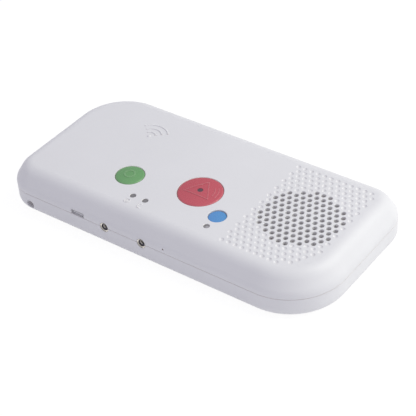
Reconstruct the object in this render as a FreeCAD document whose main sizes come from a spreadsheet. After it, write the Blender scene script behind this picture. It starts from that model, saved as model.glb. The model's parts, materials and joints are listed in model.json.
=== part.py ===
import FreeCAD, Part
import math
import os
from types import SimpleNamespace

import Sketcher

# Nurse call terminal: a low two-part case with three push buttons and a speaker grille.
# Millimetres. +X runs towards the grille end, -Y towards the side with the sockets, +Z is up.
# The origin lies under the middle of the case, on the surface that the rubber feet stand on.

# Driving sizes: alias, value, what it sets.
SIZES = [
    ("case_length", 176.0, "outer length of the case along X"),
    ("case_width", 85.0, "outer width of the case along Y"),
    ("case_height", 22.8, "height of the closed case without its feet"),
    ("corner_large", 28.5, "plan radius of the front right and back left corners"),
    ("corner_small", 14.6, "plan radius of the front left and back right corners"),
    ("wall", 2.2, "wall thickness of both covers"),
    ("foot_stand", 1.0, "height of the case above the ground"),
    ("shoulder_rise", 8.6, "height of the sloping shoulder, measured to its sharp corner"),
    ("shoulder_gap", 0.35, "gap between the shoulder's inner side and the parts behind it"),
    ("shoulder_run", 5.45, "plan width of the sloping shoulder, measured to its sharp corner"),
    ("shoulder_round", 6.0, "radius between the shoulder and the upright wall"),
    ("top_blend", 6.7, "radius between the shoulder and the top"),
    ("bottom_blend", 5.4, "radius between the lower wall and the underside"),
    ("seam_bevel", 0.05, "bevel on the upper cover along the parting line"),
    ("seam_gap", 0.12, "height of the shadow gap along the parting line"),
    ("seam_depth", 0.3, "depth of the shadow gap along the parting line"),
    ("lip_height", 1.5, "height of the lower cover's locating lip"),
    ("lip_thickness", 1.0, "thickness of the locating lip"),
    ("lip_gap", 0.1, "clearance beside the locating lip"),
    ("lip_headroom", 0.2, "clearance above the locating lip"),
    ("grille_inset", 31.7, "middle of the grille from the right end of the case"),
    ("hole_pitch", 3.6, "distance between neighbouring grille holes"),
    ("hole_bore", 2.3, "diameter of a grille hole"),
    ("sound_radius", 19.3, "radius inside which the grille holes go through"),
    ("rim_bevel", 0.2, "bevel round the openings in the top"),
    ("dimple_width", 2.3, "diameter of a blind grille dimple"),
    ("dimple_depth", 0.55, "depth of a blind grille dimple"),
    ("dimple_reach", 22.5, "how far left of the speaker's middle the dimples start"),
    ("dimple_margin", 1.35, "middle of the outer dimples from the edge of the flat top"),
    ("call_offset", 49.95, "call button left of the grille"),
    ("call_from_front", 34.0, "call button behind the front of the case"),
    ("call_radius", 10.85, "radius of the call cap"),
    ("cancel_offset", 86.0, "cancel button left of the grille"),
    ("cancel_from_front", 26.8, "cancel button behind the front of the case"),
    ("cancel_radius", 7.05, "radius of the cancel cap"),
    ("assist_offset", 32.8, "assistance button left of the grille"),
    ("assist_from_front", 23.6, "assistance button behind the front of the case"),
    ("assist_radius", 4.3, "radius of the assistance cap"),
    ("cap_gap", 0.15, "radial gap round each cap"),
    ("cap_crown", 0.85, "height of a crown over its cap's rim"),
    ("cap_rim", 0.1, "height of a crowned cap's rim over the top of the case"),
    ("cap_rounding", 0.9, "rounding of a crowned cap's rim"),
    ("assist_recess", 0.55, "depth of the assistance cap under the top of the case"),
    ("assist_rounding", 0.4, "rounding of the assistance cap's rim"),
    ("cap_skin", 1.6, "thickness of a cap under its rim plane"),
    ("cap_wall", 1.4, "thickness of a cap's side wall"),
    ("flange_reach", 1.1, "how far a cap's flange reaches past its opening"),
    ("flange_thickness", 1.1, "thickness of a cap's flange"),
    ("collar_depth", 2.2, "depth of the guide collars under the top wall"),
    ("collar_wall", 1.3, "wall of a cap's guide collar"),
    ("stop_gap", 0.05, "gap between a flange and its collar at rest"),
    ("button_travel", 0.5, "travel of each button"),
    ("stem_radius", 1.5, "radius of the stems that press the switches"),
    ("call_stem_spread", 5.0, "call button's two stems from its middle along X"),
    ("switch_width", 6.0, "side of a push switch"),
    ("switch_height", 3.5, "height of a push switch's body"),
    ("plunger_radius", 1.75, "radius of a push switch's plunger"),
    ("plunger_rise", 1.5, "plunger over the switch body at rest"),
    ("plunger_depth", 1.4, "plunger inside the switch body at rest"),
    ("plunger_gap", 0.1, "radial gap round a plunger"),
    ("lamp_radius", 1.5, "radius of the call button's lamp"),
    ("lamp_height", 5.3, "height of the call button's lamp"),
    ("lamp_rim", 0.3, "rim of the lamp and of its spacer past the lamp's shaft"),
    ("lamp_gap", 0.2, "gap over the lamp with its button pressed"),
    ("lens_radius", 1.35, "radius of the lens in the call cap"),
    ("lens_gap", 0.05, "radial gap round the lens in the call cap"),
    ("lens_flange", 0.6, "thickness and reach of the lens's flange under the cap's roof"),
    ("lens_recess", 0.1, "depth of the lens under the top of the call cap's crown"),
    ("light_from_front", 15.25, "indicator lights behind the front of the case"),
    ("power_light_offset", 75.0, "first indicator light left of the grille"),
    ("line_light_offset", 67.8, "second indicator light left of the grille"),
    ("light_radius", 1.45, "radius of an indicator opening"),
    ("light_recess", 0.3, "depth of an indicator lens under the top of the case"),
    ("light_collar_wall", 0.9, "wall of an indicator's collar"),
    ("guide_gap", 0.1, "radial gap round a light guide"),
    ("guide_base_radius", 2.0, "radius of a light guide's base"),
    ("status_led_length", 3.2, "length of an indicator's light source"),
    ("status_led_width", 1.6, "width of an indicator's light source"),
    ("status_led_height", 1.2, "height of an indicator's light source on the board"),
    ("wave_height", 0.35, "height of the wave symbol over the case"),
    ("icon_height", 0.25, "height of the small symbols over the case"),
    ("cap_symbol_height", 0.12, "height of the raised lines on the caps"),
    ("cap_line", 0.45, "line width of the raised lines on the caps"),
    ("call_sign_width", 13.4, "base of the triangle on the call cap"),
    ("call_sign_height", 10.9, "height of the triangle on the call cap"),
    ("call_sign_drop", 3.55, "base of the triangle in front of the call cap's middle"),
    ("call_arc_radius", 7.0, "radius of the inner arc on the call cap"),
    ("call_arc_step", 1.7, "step to the outer arc on the call cap"),
    ("cancel_ring_radius", 2.5, "middle radius of the raised ring on the cancel cap"),
    ("cancel_ring_line", 0.8, "line width of the raised ring on the cancel cap"),
    ("wave_offset", 97.9, "wave symbol left of the grille"),
    ("wave_from_front", 56.5, "wave symbol behind the front of the case"),
    ("wave_line", 0.95, "line width of the wave symbol"),
    ("wave_dot", 1.05, "radius of the wave symbol's dot"),
    ("wave_dot_height", 0.45, "height of the wave symbol's dot over the case"),
    ("wave_radius", 3.35, "middle radius of the smallest wave"),
    ("wave_step", 3.03, "step from one wave to the next"),
    ("icon_from_front", 10.75, "small symbols behind the front of the case"),
    ("icon_radius", 1.4, "middle radius of the small symbols"),
    ("icon_line", 0.5, "line width of the small symbols"),
    ("power_bar", 1.3, "length of the bar in the power symbol"),
    ("handset_line", 0.6, "line width of the handset symbol"),
    ("handset_radius", 1.4, "middle radius of the handset symbol"),
    ("handset_end", 0.5, "radius of the handset symbol's ends"),
    ("handset_shift", 0.45, "middle of the handset symbol right of its light"),
    ("board_end_gap", 22.0, "board from the left end of the case"),
    ("board_to_speaker", 22.3, "board from the middle of the speaker"),
    ("board_back_gap", 11.9, "board from the back of the case"),
    ("board_gap", 0.9, "gap between the board's front edge and the wall"),
    ("board_thickness", 1.6, "thickness of the main board"),
    ("standoff_inset", 5.0, "board posts from the board's ends"),
    ("standoff_radius", 3.0, "radius of a board post"),
    ("board_screw_radius", 0.95, "thread radius of a board screw"),
    ("board_screw_head", 2.2, "head radius of a board screw"),
    ("board_screw_height", 1.4, "head height of a board screw"),
    ("board_screw_grip", 2.0, "end of a board screw above the floor"),
    ("board_hole_gap", 0.35, "radial gap round a board screw in the board"),
    ("board_notch_gap", 0.1, "gap round a socket body in the board"),
    ("left_jack_offset", 81.4, "left socket left of the grille"),
    ("right_jack_offset", 59.5, "right socket left of the grille"),
    ("jack_bore_radius", 1.8, "bore radius of a socket for a 3.5 mm plug"),
    ("jack_depth", 14.0, "length of a socket's bore"),
    ("jack_ring_radius", 2.35, "outer radius of a socket's metal ring and nose"),
    ("jack_ring_length", 0.9, "length of a socket's metal ring"),
    ("jack_nose_length", 2.7, "length of a socket's ring and nose together"),
    ("jack_ring_gap", 0.15, "gap round a socket's ring and nose in the case"),
    ("jack_setback", 0.1, "socket ring behind the front of the case"),
    ("jack_body_width", 6.4, "width of a socket body"),
    ("jack_body_height", 5.6, "height of a socket body"),
    ("jack_back_wall", 1.0, "wall behind a socket's bore"),
    ("jack_entry", 0.3, "bevel at the mouth of a socket"),
    ("contact_start", 3.0, "first contact of a socket behind the board's front edge"),
    ("contact_pitch", 6.0, "distance between a socket's contacts"),
    ("contact_reach", 1.4, "how far a socket's contacts reach out over the board"),
    ("contact_width", 1.2, "width of a socket's contact"),
    ("contact_thickness", 0.5, "thickness of a socket's contact"),
    ("usb_offset", 97.8, "power inlet left of the grille"),
    ("usb_width", 7.4, "width of the power inlet's shell"),
    ("usb_height", 2.4, "height of the power inlet's shell"),
    ("usb_length", 5.6, "length of the power inlet's shell"),
    ("usb_setback", 0.3, "power inlet behind the front of the case"),
    ("usb_bevel", 0.3, "bevel round the opening for the power inlet"),
    ("usb_gap", 0.1, "gap round the power inlet's shell in the case"),
    ("usb_skin", 0.3, "sheet thickness of the power inlet's shell"),
    ("tongue_thickness", 0.9, "thickness of the power inlet's tongue"),
    ("tongue_setback", 0.5, "tongue behind the front of the power inlet's shell"),
    ("microphone_offset", 46.9, "microphone left of the grille"),
    ("microphone_rise", 2.05, "microphone opening above the parting plane"),
    ("microphone_bore", 0.45, "radius of the microphone opening"),
    ("microphone_length", 3.8, "length of the microphone"),
    ("microphone_depth", 3.0, "depth of the microphone"),
    ("microphone_height", 1.0, "height of the microphone"),
    ("microphone_play", 0.1, "play of the microphone in its boot"),
    ("microphone_lip", 0.4, "part of the boot's front wall over the microphone"),
    ("boot_wall", 1.0, "wall of the microphone's rubber boot"),
    ("snout_wall", 0.35, "wall of the boot's snout"),
    ("snout_gap", 0.1, "gap between the boot's snout and the case"),
    ("corner_recess_inset", 15.6, "round side recess from the left end of the case"),
    ("corner_recess_rise", 5.35, "round side recess above the underside"),
    ("corner_recess_radius", 2.2, "radius of the round side recess"),
    ("corner_recess_depth", 2.8, "depth of the round side recess"),
    ("corner_recess_wall", 1.0, "wall round and behind the side recess"),
    ("speaker_radius", 22.5, "outer radius of the speaker"),
    ("speaker_flange", 0.8, "thickness of the speaker's flange"),
    ("speaker_basket_depth", 6.0, "depth of the speaker's basket"),
    ("magnet_radius", 10.0, "radius of the speaker's magnet"),
    ("magnet_depth", 5.0, "depth of the speaker's magnet"),
    ("gasket_thickness", 0.7, "foam ring between speaker and cover"),
    ("gasket_reach", 0.1, "reach of the foam ring over the edge of the outer grille holes"),
    ("cone_thickness", 0.3, "thickness of the speaker's cone"),
    ("speaker_boss_radius", 2.5, "radius of a speaker screw's boss"),
    ("speaker_boss_gap", 0.3, "gap between the speaker's rim and its bosses"),
    ("speaker_screw_head", 3.6, "radius of a speaker screw's washer head"),
    ("speaker_screw_radius", 0.85, "thread radius of a speaker screw"),
    ("speaker_screw_height", 1.2, "height of a speaker screw's washer head"),
    ("strip_width", 2.3, "terminal strip along X"),
    ("strip_length", 8.0, "terminal strip along Y"),
    ("strip_thickness", 1.0, "thickness of the terminal strip"),
    ("speaker_sheet", 0.8, "sheet thickness of the speaker's frame"),
    ("speaker_rim", 3.0, "width of the speaker's rim"),
    ("speaker_neck", 12.0, "radius where the basket's wall meets its floor"),
    ("pole_radius", 4.2, "radius of the speaker's pole"),
    ("pole_gap", 0.4, "radial gap round the pole in the frame"),
    ("pole_rise", 1.2, "pole over the basket's floor"),
    ("coil_radius", 5.2, "radius where the cone meets the voice coil"),
    ("coil_rise", 1.6, "cone's neck over the basket's floor"),
    ("roll_inset", 3.2, "cone's roll from the speaker's edge"),
    ("roll_width", 2.8, "width of the cone's roll"),
    ("roll_depth", 0.9, "depth of the cone's roll"),
    ("dust_cap_radius", 5.8, "radius of the speaker's dust cap"),
    ("dust_cap_rise", 0.8, "dust cap's edge over the cone's neck"),
    ("dust_cap_edge", 0.4, "thickness of the dust cap's edge"),
    ("dust_cap_crown", 1.5, "height of the dust cap's dome"),
    ("plug_width", 6.0, "width of a lead's connector across the board"),
    ("plug_length", 4.0, "length of the speaker's connector"),
    ("plug_inset", 12.0, "speaker's connector from the board's right end"),
    ("plug_height", 5.0, "height of a lead's connector"),
    ("thread_gap", 0.05, "radial gap round the thread of a screw"),
    ("screw_inset_x", 16.0, "case screws from the ends of the case"),
    ("boss_gap", 2.0, "gap between a case screw's boss and a speaker screw's head, across the case"),
    ("screw_radius", 1.2, "thread radius of a case screw"),
    ("screw_head_radius", 2.7, "head radius of a case screw"),
    ("screw_head_height", 1.8, "head height of a case screw"),
    ("screw_length", 12.0, "thread length of a case screw"),
    ("screw_seat", 6.4, "seat of a case screw's head above the underside"),
    ("screw_hole_gap", 0.4, "radial gap round a case screw in its post"),
    ("screw_head_gap", 0.3, "radial gap round a case screw's head"),
    ("post_radius", 4.2, "radius of the lower cover's screw posts"),
    ("boss_radius", 3.5, "radius of the upper cover's screw bosses"),
    ("foot_inset_x", 26.0, "rubber feet from the ends of the case"),
    ("foot_inset_y", 12.5, "rubber feet from the sides of the case"),
    ("foot_radius", 5.0, "radius of a rubber foot"),
    ("foot_bevel", 0.3, "bevel round a rubber foot's tread"),
    ("foot_recess", 0.5, "depth of the recess for a rubber foot"),
    ("foot_gap", 0.2, "radial gap round a rubber foot"),
    ("battery_length", 50.0, "battery along X"),
    ("battery_width", 34.0, "battery along Y"),
    ("battery_thickness", 5.4, "thickness of the battery"),
    ("battery_inset", 8.0, "battery from the board's left edge"),
    ("battery_corner", 2.5, "corner radius of the battery in plan"),
    ("battery_rounding", 1.2, "rounding of the battery's upper and lower edges"),
    ("pad_thickness", 0.4, "adhesive pad under the battery"),
    ("pad_inset", 3.0, "adhesive pad from the battery's edges"),
    ("socket_gap", 7.0, "battery's connector from the battery"),
    ("socket_length", 6.0, "length of the battery's connector"),
    ("socket_width", 8.0, "width of the battery's connector"),
    ("lead_radius", 0.5, "radius of an insulated wire"),
    ("lead_spread", 1.0, "each wire of a pair from the middle of the pair"),
    ("radio_inset", 18.0, "middle of the radio module from the board's left end"),
    ("radio_width", 16.0, "radio module along X"),
    ("radio_length", 24.0, "radio module along Y"),
    ("radio_thickness", 0.8, "thickness of the radio module's board"),
    ("shield_shift", 3.0, "shield in front of the radio module's middle"),
    ("shield_width", 13.0, "radio shield along X"),
    ("shield_length", 15.0, "radio shield along Y"),
    ("shield_height", 2.2, "height of the radio shield"),
    ("processor_share", 0.56, "place of the processor as a share of the board's length"),
    ("processor_shift", 2.0, "processor in front of the radio module's middle"),
    ("processor_width", 12.0, "side of the processor"),
    ("processor_height", 1.4, "height of the processor"),
    ("crystal_gap", 3.1, "gap between the crystal and the processor"),
    ("crystal_width", 3.8, "crystal along X"),
    ("crystal_length", 10.4, "crystal along Y"),
    ("crystal_height", 3.4, "height of the crystal"),
    ("amplifier_inset", 21.0, "middle of the amplifier from the board's right end"),
    ("amplifier_width", 5.0, "side of the amplifier"),
    ("amplifier_height", 1.2, "height of the amplifier"),
    ("capacitor_inset", 8.0, "capacitors from the board's right end"),
    ("capacitor_gap", 2.8, "gap between a capacitor and the board screw behind it"),
    ("capacitor_pitch", 8.0, "distance between the capacitors"),
    ("capacitor_radius", 2.6, "radius of a capacitor"),
    ("capacitor_height", 5.4, "height of a capacitor"),
]

doc = FreeCAD.newDocument("nurse_call_terminal")
sheet = doc.addObject("Spreadsheet::Sheet", "sizes")
nodes = {}


class Size:
    """A length that carries its formula on the sheet and its present value."""

    def __init__(self, text, value):
        self.text = text
        self.value = value

    def __add__(self, other):
        return Size(f"({self.text} + {formula(other)})", self.value + plain(other))

    def __radd__(self, other):
        return Size(f"({formula(other)} + {self.text})", plain(other) + self.value)

    def __sub__(self, other):
        return Size(f"({self.text} - {formula(other)})", self.value - plain(other))

    def __rsub__(self, other):
        return Size(f"({formula(other)} - {self.text})", plain(other) - self.value)

    def __mul__(self, other):
        return Size(f"({self.text} * {formula(other)})", self.value * plain(other))

    def __rmul__(self, other):
        return Size(f"({formula(other)} * {self.text})", plain(other) * self.value)

    def __truediv__(self, other):
        return Size(f"({self.text} / {formula(other)})", self.value / plain(other))

    def __neg__(self):
        return Size(f"(0 - {self.text})", -self.value)


def plain(value):
    """The number behind a Size, or the number itself."""
    return value.value if isinstance(value, Size) else float(value)


def formula(value):
    """The formula of a Size, or the number as text."""
    return value.text if isinstance(value, Size) else f"{float(value):.12g}"


def larger(first, second):
    """The larger of two Sizes."""
    return Size(f"max({first.text}; {second.text})", max(first.value, second.value))


def smaller(first, second):
    """The smaller of two Sizes."""
    return Size(f"min({first.text}; {second.text})", min(first.value, second.value))


def root(size):
    """The square root of a Size."""
    return Size(f"sqrt({size.text})", math.sqrt(size.value))


def bind(thing, prop, value):
    """Give a property its value, and its formula where it has one."""
    thing.setExpression(prop, formula(value))


def fill_sheet():
    """Write the driving sizes into the sheet and hand them back by name."""
    for row, (alias, value, note) in enumerate(SIZES, start=1):
        sheet.set(f"A{row}", note)
        sheet.set(f"B{row}", str(value))
        sheet.setAlias(f"B{row}", alias)
    doc.recompute()
    return SimpleNamespace(**{name: Size(f"sizes.{name}", float(sheet.get(name))) for name, _, _ in SIZES})


s = fill_sheet()

# Heights above the ground.
underside = s.foot_stand
floor_top = underside + s.wall
split = underside + s.case_height / 2
top = underside + s.case_height
ceiling = top - s.wall
collar_end = ceiling - s.collar_depth
board_top = split
board_under = board_top - s.board_thickness

# Plan limits and places.
half_length = s.case_length / 2
half_width = s.case_width / 2
inner_front = s.wall - half_width
grille_x = half_length - s.grille_inset
call_x = grille_x - s.call_offset
call_y = s.call_from_front - half_width
cancel_x = grille_x - s.cancel_offset
cancel_y = s.cancel_from_front - half_width
assist_x = grille_x - s.assist_offset
assist_y = s.assist_from_front - half_width
light_y = s.light_from_front - half_width
power_light_x = grille_x - s.power_light_offset
line_light_x = grille_x - s.line_light_offset
board_left = s.board_end_gap - half_length
board_right = grille_x - s.board_to_speaker
board_front = inner_front + s.board_gap
board_back = half_width - s.board_back_gap
standoff_xs = (board_left + s.standoff_inset, board_right - s.standoff_inset)
standoff_ys = (board_front + s.standoff_inset, board_back - s.standoff_inset)
standoffs = [(x, y) for x in standoff_xs for y in standoff_ys]
speaker_screw_reach = (s.speaker_radius + s.speaker_boss_gap + s.speaker_boss_radius) * math.sqrt(0.5)
speaker_screw_places = [
    (grille_x + sx * speaker_screw_reach, sy * speaker_screw_reach) for sx in (-1, 1) for sy in (-1, 1)
]
screw_x = half_length - s.screw_inset_x
screw_y = speaker_screw_reach + s.speaker_screw_head + s.boss_gap + s.boss_radius
case_screw_places = [(sx * screw_x, sy * screw_y) for sx in (-1, 1) for sy in (-1, 1)]
foot_x = half_length - s.foot_inset_x
foot_y = half_width - s.foot_inset_y
foot_places = [(sx * foot_x, sy * foot_y) for sx in (-1, 1) for sy in (-1, 1)]
jack_xs = {"left": grille_x - s.left_jack_offset, "right": grille_x - s.right_jack_offset}
jack_front = s.jack_setback - half_width
jack_ring_back = jack_front + s.jack_ring_length
jack_body_back = jack_front + s.jack_depth + s.jack_back_wall
usb_x = grille_x - s.usb_offset
usb_front = s.usb_setback - half_width
microphone_x = grille_x - s.microphone_offset
microphone_z = split + s.microphone_rise

# The shoulder is a straight slope. Its half turn sets where the blend meets the flat top.
slope_length = root(s.shoulder_run * s.shoulder_run + s.shoulder_rise * s.shoulder_rise)
half_turn = (slope_length - s.shoulder_run) / s.shoulder_rise
flat_inset = s.shoulder_run + s.top_blend * half_turn

# The speaker hangs under the ceiling: foam ring, cone rim, flange.
cone_top = ceiling - s.gasket_thickness
flange_top = cone_top - s.cone_thickness
flange_under = flange_top - s.speaker_flange
basket_under = flange_top - s.speaker_basket_depth


def move(thing, x=0, y=0, z=0):
    """Bind a thing's place."""
    for axis, value in (("x", x), ("y", y), ("z", z)):
        bind(thing, f"Placement.Base.{axis}", value)
    return thing


def block(x_span, y_span, z_span):
    """A box between three pairs of limits."""
    box = doc.addObject("Part::Box", "block")
    for prop, (low, high) in (("Length", x_span), ("Width", y_span), ("Height", z_span)):
        bind(box, prop, high - low)
    return move(box, x_span[0], y_span[0], z_span[0])


def rod(radius, z_span, x=0, y=0):
    """An upright cylinder."""
    cylinder = doc.addObject("Part::Cylinder", "rod")
    bind(cylinder, "Radius", radius)
    bind(cylinder, "Height", z_span[1] - z_span[0])
    return move(cylinder, x, y, z_span[0])


def bar(radius, y_span, x, z):
    """A cylinder along Y."""
    cylinder = doc.addObject("Part::Cylinder", "bar")
    bind(cylinder, "Radius", radius)
    bind(cylinder, "Height", y_span[1] - y_span[0])
    cylinder.Placement = FreeCAD.Placement(FreeCAD.Vector(), FreeCAD.Rotation(FreeCAD.Vector(1, 0, 0), -90))
    return move(cylinder, x, y_span[0], z)


def drill(radius, z_span, x, y):
    """A tool for an opening in the top: a rod with a bevel where it leaves the surface."""
    cone = doc.addObject("Part::Cone", "bevel")
    bind(cone, "Radius1", radius)
    bind(cone, "Radius2", radius + 2 * s.rim_bevel)
    bind(cone, "Height", 2 * s.rim_bevel)
    return fuse(rod(radius, z_span, x, y), move(cone, x, y, top - s.rim_bevel))


def ball(radius, x, y, z):
    """A sphere."""
    sphere = doc.addObject("Part::Sphere", "ball")
    bind(sphere, "Radius", radius)
    return move(sphere, x, y, z)


def around(x, half):
    """The span of a width that is centred on a place."""
    return (x - half, x + half)


def joined(kind, name, pieces):
    """Several things as one feature of the given kind."""
    feature = doc.addObject(kind, name)
    if kind == "Part::Compound":
        feature.Links = pieces
    else:
        feature.Shapes = pieces
    return feature


def fuse(*pieces):
    """All pieces as one."""
    return joined("Part::MultiFuse", "fuse", list(pieces))


def common(*pieces):
    """What all pieces share."""
    return joined("Part::MultiCommon", "common", list(pieces))


def bundle(pieces):
    """Separate solids in one thing."""
    return joined("Part::Compound", "bundle", list(pieces))


def cut(base, *tools):
    """The base without the tools."""
    feature = doc.addObject("Part::Cut", "cut")
    feature.Base = base
    feature.Tool = tools[0] if len(tools) == 1 else fuse(*tools)
    return feature


def ring(outer, inner, z_span, x=0, y=0):
    """A flat ring or a collar."""
    return cut(rod(outer, z_span, x, y), rod(inner, z_span, x, y))


def sector(outer, inner, z_span, x, y, start, sweep):
    """A part of a ring, from a start angle on."""
    pair = []
    for radius in (outer, inner):
        piece = rod(radius, z_span)
        piece.Angle = sweep
        turn = FreeCAD.Rotation(FreeCAD.Vector(0, 0, 1), start)
        piece.Placement = FreeCAD.Placement(FreeCAD.Vector(), turn)
        pair.append(move(piece, x, y, z_span[0]))
    return cut(*pair)


def node(name, thing):
    """Make a thing one of the terminal's sub-parts."""
    thing.Label = name
    nodes[name] = thing
    return thing


def new_sketch(body, role):
    """An empty sketch on one of a body's own origin planes."""
    sketch = body.newObject("Sketcher::SketchObject", "sketch")
    plane = next(item for item in body.Origin.OriginFeatures if item.Role == role)
    sketch.AttachmentSupport = [(plane, "")]
    sketch.MapMode = "FlatFace"
    return sketch


def hold(sketch, kind, *place):
    """Add a constraint whose last entry is a bound length."""
    index = sketch.addConstraint(Sketcher.Constraint(kind, *place[:-1], plain(place[-1])))
    if isinstance(place[-1], Size):
        sketch.setExpression(f"Constraints[{index}]", place[-1].text)


def turned(points, x=0, y=0, crowned=False):
    """A body of revolution from a closed profile of (radius, height) points.

    With a crown, the first point is the apex on the axis and an arc runs from it to the second.
    """
    body = doc.addObject("PartDesign::Body", "turned")
    sketch = new_sketch(body, "XZ_Plane")
    spots = [FreeCAD.Vector(plain(radius), plain(height), 0) for radius, height in points]
    starts = []
    for index, spot in enumerate(spots):
        following = spots[(index + 1) % len(spots)]
        if crowned and index == 0:
            drop = spot.y - following.y
            arc_radius = (following.x ** 2 + drop ** 2) / (2 * drop)
            centre = FreeCAD.Vector(0, spot.y - arc_radius, 0)
            circle = Part.Circle(centre, FreeCAD.Vector(0, 0, 1), arc_radius)
            rim_angle = math.atan2(following.y - centre.y, following.x)
            sketch.addGeometry(Part.ArcOfCircle(circle, rim_angle, math.pi / 2), False)
            starts.append(2)
        else:
            sketch.addGeometry(Part.LineSegment(spot, following), False)
            starts.append(1)
    for index, (radius, height) in enumerate(points):
        following = (index + 1) % len(points)
        sketch.addConstraint(
            Sketcher.Constraint("Coincident", index, 3 - starts[index], following, starts[following])
        )
        if plain(radius) > 0:
            hold(sketch, "DistanceX", -1, 1, index, starts[index], radius)
        else:
            sketch.addConstraint(Sketcher.Constraint("PointOnObject", index, starts[index], -2))
        hold(sketch, "DistanceY", -1, 1, index, starts[index], height)
    if crowned:
        sketch.addConstraint(Sketcher.Constraint("PointOnObject", 0, 3, -2))
    revolution = body.newObject("PartDesign::Revolution", "revolution")
    revolution.Profile = sketch
    revolution.ReferenceAxis = (sketch, ["V_Axis"])
    revolution.Angle = 360
    return move(body, x, y)


def outline(body, half_x, half_y, main_radius, other_radius):
    """A rectangle's sketch whose opposite corners share a radius.

    The main radius is at the front right and the back left.
    """
    sketch = new_sketch(body, "XY_Plane")
    x, y = plain(half_x), plain(half_y)
    radii = [main_radius, other_radius, main_radius, other_radius]
    corners = [(1, -1), (1, 1), (-1, 1), (-1, -1)]
    arcs = []
    for index, ((sx, sy), size) in enumerate(zip(corners, radii)):
        radius = plain(size)
        centre = FreeCAD.Vector(sx * (x - radius), sy * (y - radius), 0)
        start = (index - 1) * math.pi / 2
        circle = Part.Circle(centre, FreeCAD.Vector(0, 0, 1), radius)
        arcs.append(Part.ArcOfCircle(circle, start, start + math.pi / 2))
    for arc in arcs:
        sketch.addGeometry(arc, False)
    for index in range(4):
        start, end = arcs[index - 1].EndPoint, arcs[index].StartPoint
        sketch.addGeometry(Part.LineSegment(start, end), False)
    for index in range(4):
        line = 4 + index
        sketch.addConstraint(Sketcher.Constraint("Tangent", (index - 1) % 4, 2, line, 1))
        sketch.addConstraint(Sketcher.Constraint("Tangent", line, 2, index, 1))
        sketch.addConstraint(Sketcher.Constraint("Vertical" if index % 2 else "Horizontal", line))
        hold(sketch, "Radius", index, radii[index])
    hold(sketch, "DistanceX", -1, 1, 5, 1, half_x)
    hold(sketch, "DistanceX", 7, 1, -1, 1, half_x)
    hold(sketch, "DistanceY", -1, 1, 6, 1, half_y)
    hold(sketch, "DistanceY", 4, 1, -1, 1, half_y)
    return sketch


def flat_face(feature, height):
    """The name of the level face at a height in a feature's own frame."""
    for index, face in enumerate(feature.Shape.Faces, start=1):
        box = face.BoundBox
        if abs(box.ZMin - height) < 1e-4 and abs(box.ZMax - height) < 1e-4:
            return f"Face{index}"
    raise ValueError(f"no level face at {height}")


def level_edges(feature, height):
    """The names of the level edges at a height in a feature's own frame."""
    names = []
    for index, edge in enumerate(feature.Shape.Edges, start=1):
        box = edge.BoundBox
        if abs(box.ZMin - height) < 1e-4 and abs(box.ZMax - height) < 1e-4:
            names.append(f"Edge{index}")
    if not names:
        raise ValueError(f"no level edge at {height}")
    return names


def soften(body, height, radius):
    """Round the level edges at a height."""
    doc.recompute()
    base = body.Tip
    feature = body.newObject("PartDesign::Fillet", "fillet")
    feature.Base = (base, level_edges(base, height))
    bind(feature, "Radius", radius)


def dress(body, kind, height, **sizes):
    """Round or bevel all edges of the level face at a height."""
    doc.recompute()
    base = body.Tip
    feature = body.newObject(kind, kind.split("::")[1].lower())
    feature.Base = (base, [flat_face(base, height)])
    if "Size2" in sizes:
        feature.ChamferType = "Two distances"
    for prop, value in sizes.items():
        bind(feature, prop, value)
    return feature


def plate(half_x, half_y, height, main_radius, other_radius=None):
    """A body with a padded outline that stands on its own origin."""
    body = doc.addObject("PartDesign::Body", "plate")
    sketch = outline(body, half_x, half_y, main_radius, other_radius or main_radius)
    pad = body.newObject("PartDesign::Pad", "pad")
    pad.Profile = sketch
    bind(pad, "Length", height)
    return body


def case_plate(inset, z_span):
    """A plate with the plan of the case, drawn in by an inset."""
    body = plate(
        half_length - inset,
        half_width - inset,
        z_span[1] - z_span[0],
        s.corner_large - inset,
        s.corner_small - inset,
    )
    return move(body, z=z_span[0])


def shoulder_inside(z):
    """How far towards the front the room behind the sloping shoulder reaches at a height."""
    level = z - top + s.shoulder_rise
    slant = s.wall * slope_length / s.shoulder_rise
    return slant - half_width + level * s.shoulder_run / s.shoulder_rise


def shoulder(body, height, inset, foot):
    """The slope and its two blends at a case plate's upper edge, drawn in by an inset.

    The lower blend is limited by the upright wall, less what is taken of it at its foot.
    """
    half_slope = (slope_length - s.shoulder_rise) / s.shoulder_run
    run = s.shoulder_run - inset + inset * half_turn
    rise = s.shoulder_rise - inset + inset * half_slope
    dress(body, "PartDesign::Chamfer", plain(height), Size=rise, Size2=run)
    soften(body, plain(height - rise), smaller(s.shoulder_round - inset, (height - rise - foot) / half_slope))
    dress(body, "PartDesign::Fillet", plain(height), Radius=s.top_blend - inset)


def upper_form():
    """The outer form of the upper cover."""
    body = case_plate(0, (split, top))
    dress(body, "PartDesign::Chamfer", 0, Size=s.seam_bevel)
    shoulder(body, top - split, 0, s.seam_bevel + s.seam_gap)
    return body


def lower_form():
    """The outer form of the lower cover."""
    body = case_plate(0, (underside, split))
    dress(body, "PartDesign::Fillet", 0, Radius=s.bottom_blend)
    return body


def room_form():
    """The space inside both covers."""
    body = case_plate(s.wall, (floor_top, ceiling))
    dress(body, "PartDesign::Fillet", 0, Radius=s.bottom_blend - s.wall)
    shoulder(body, ceiling - floor_top, s.wall, s.bottom_blend - s.wall)
    return body


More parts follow.
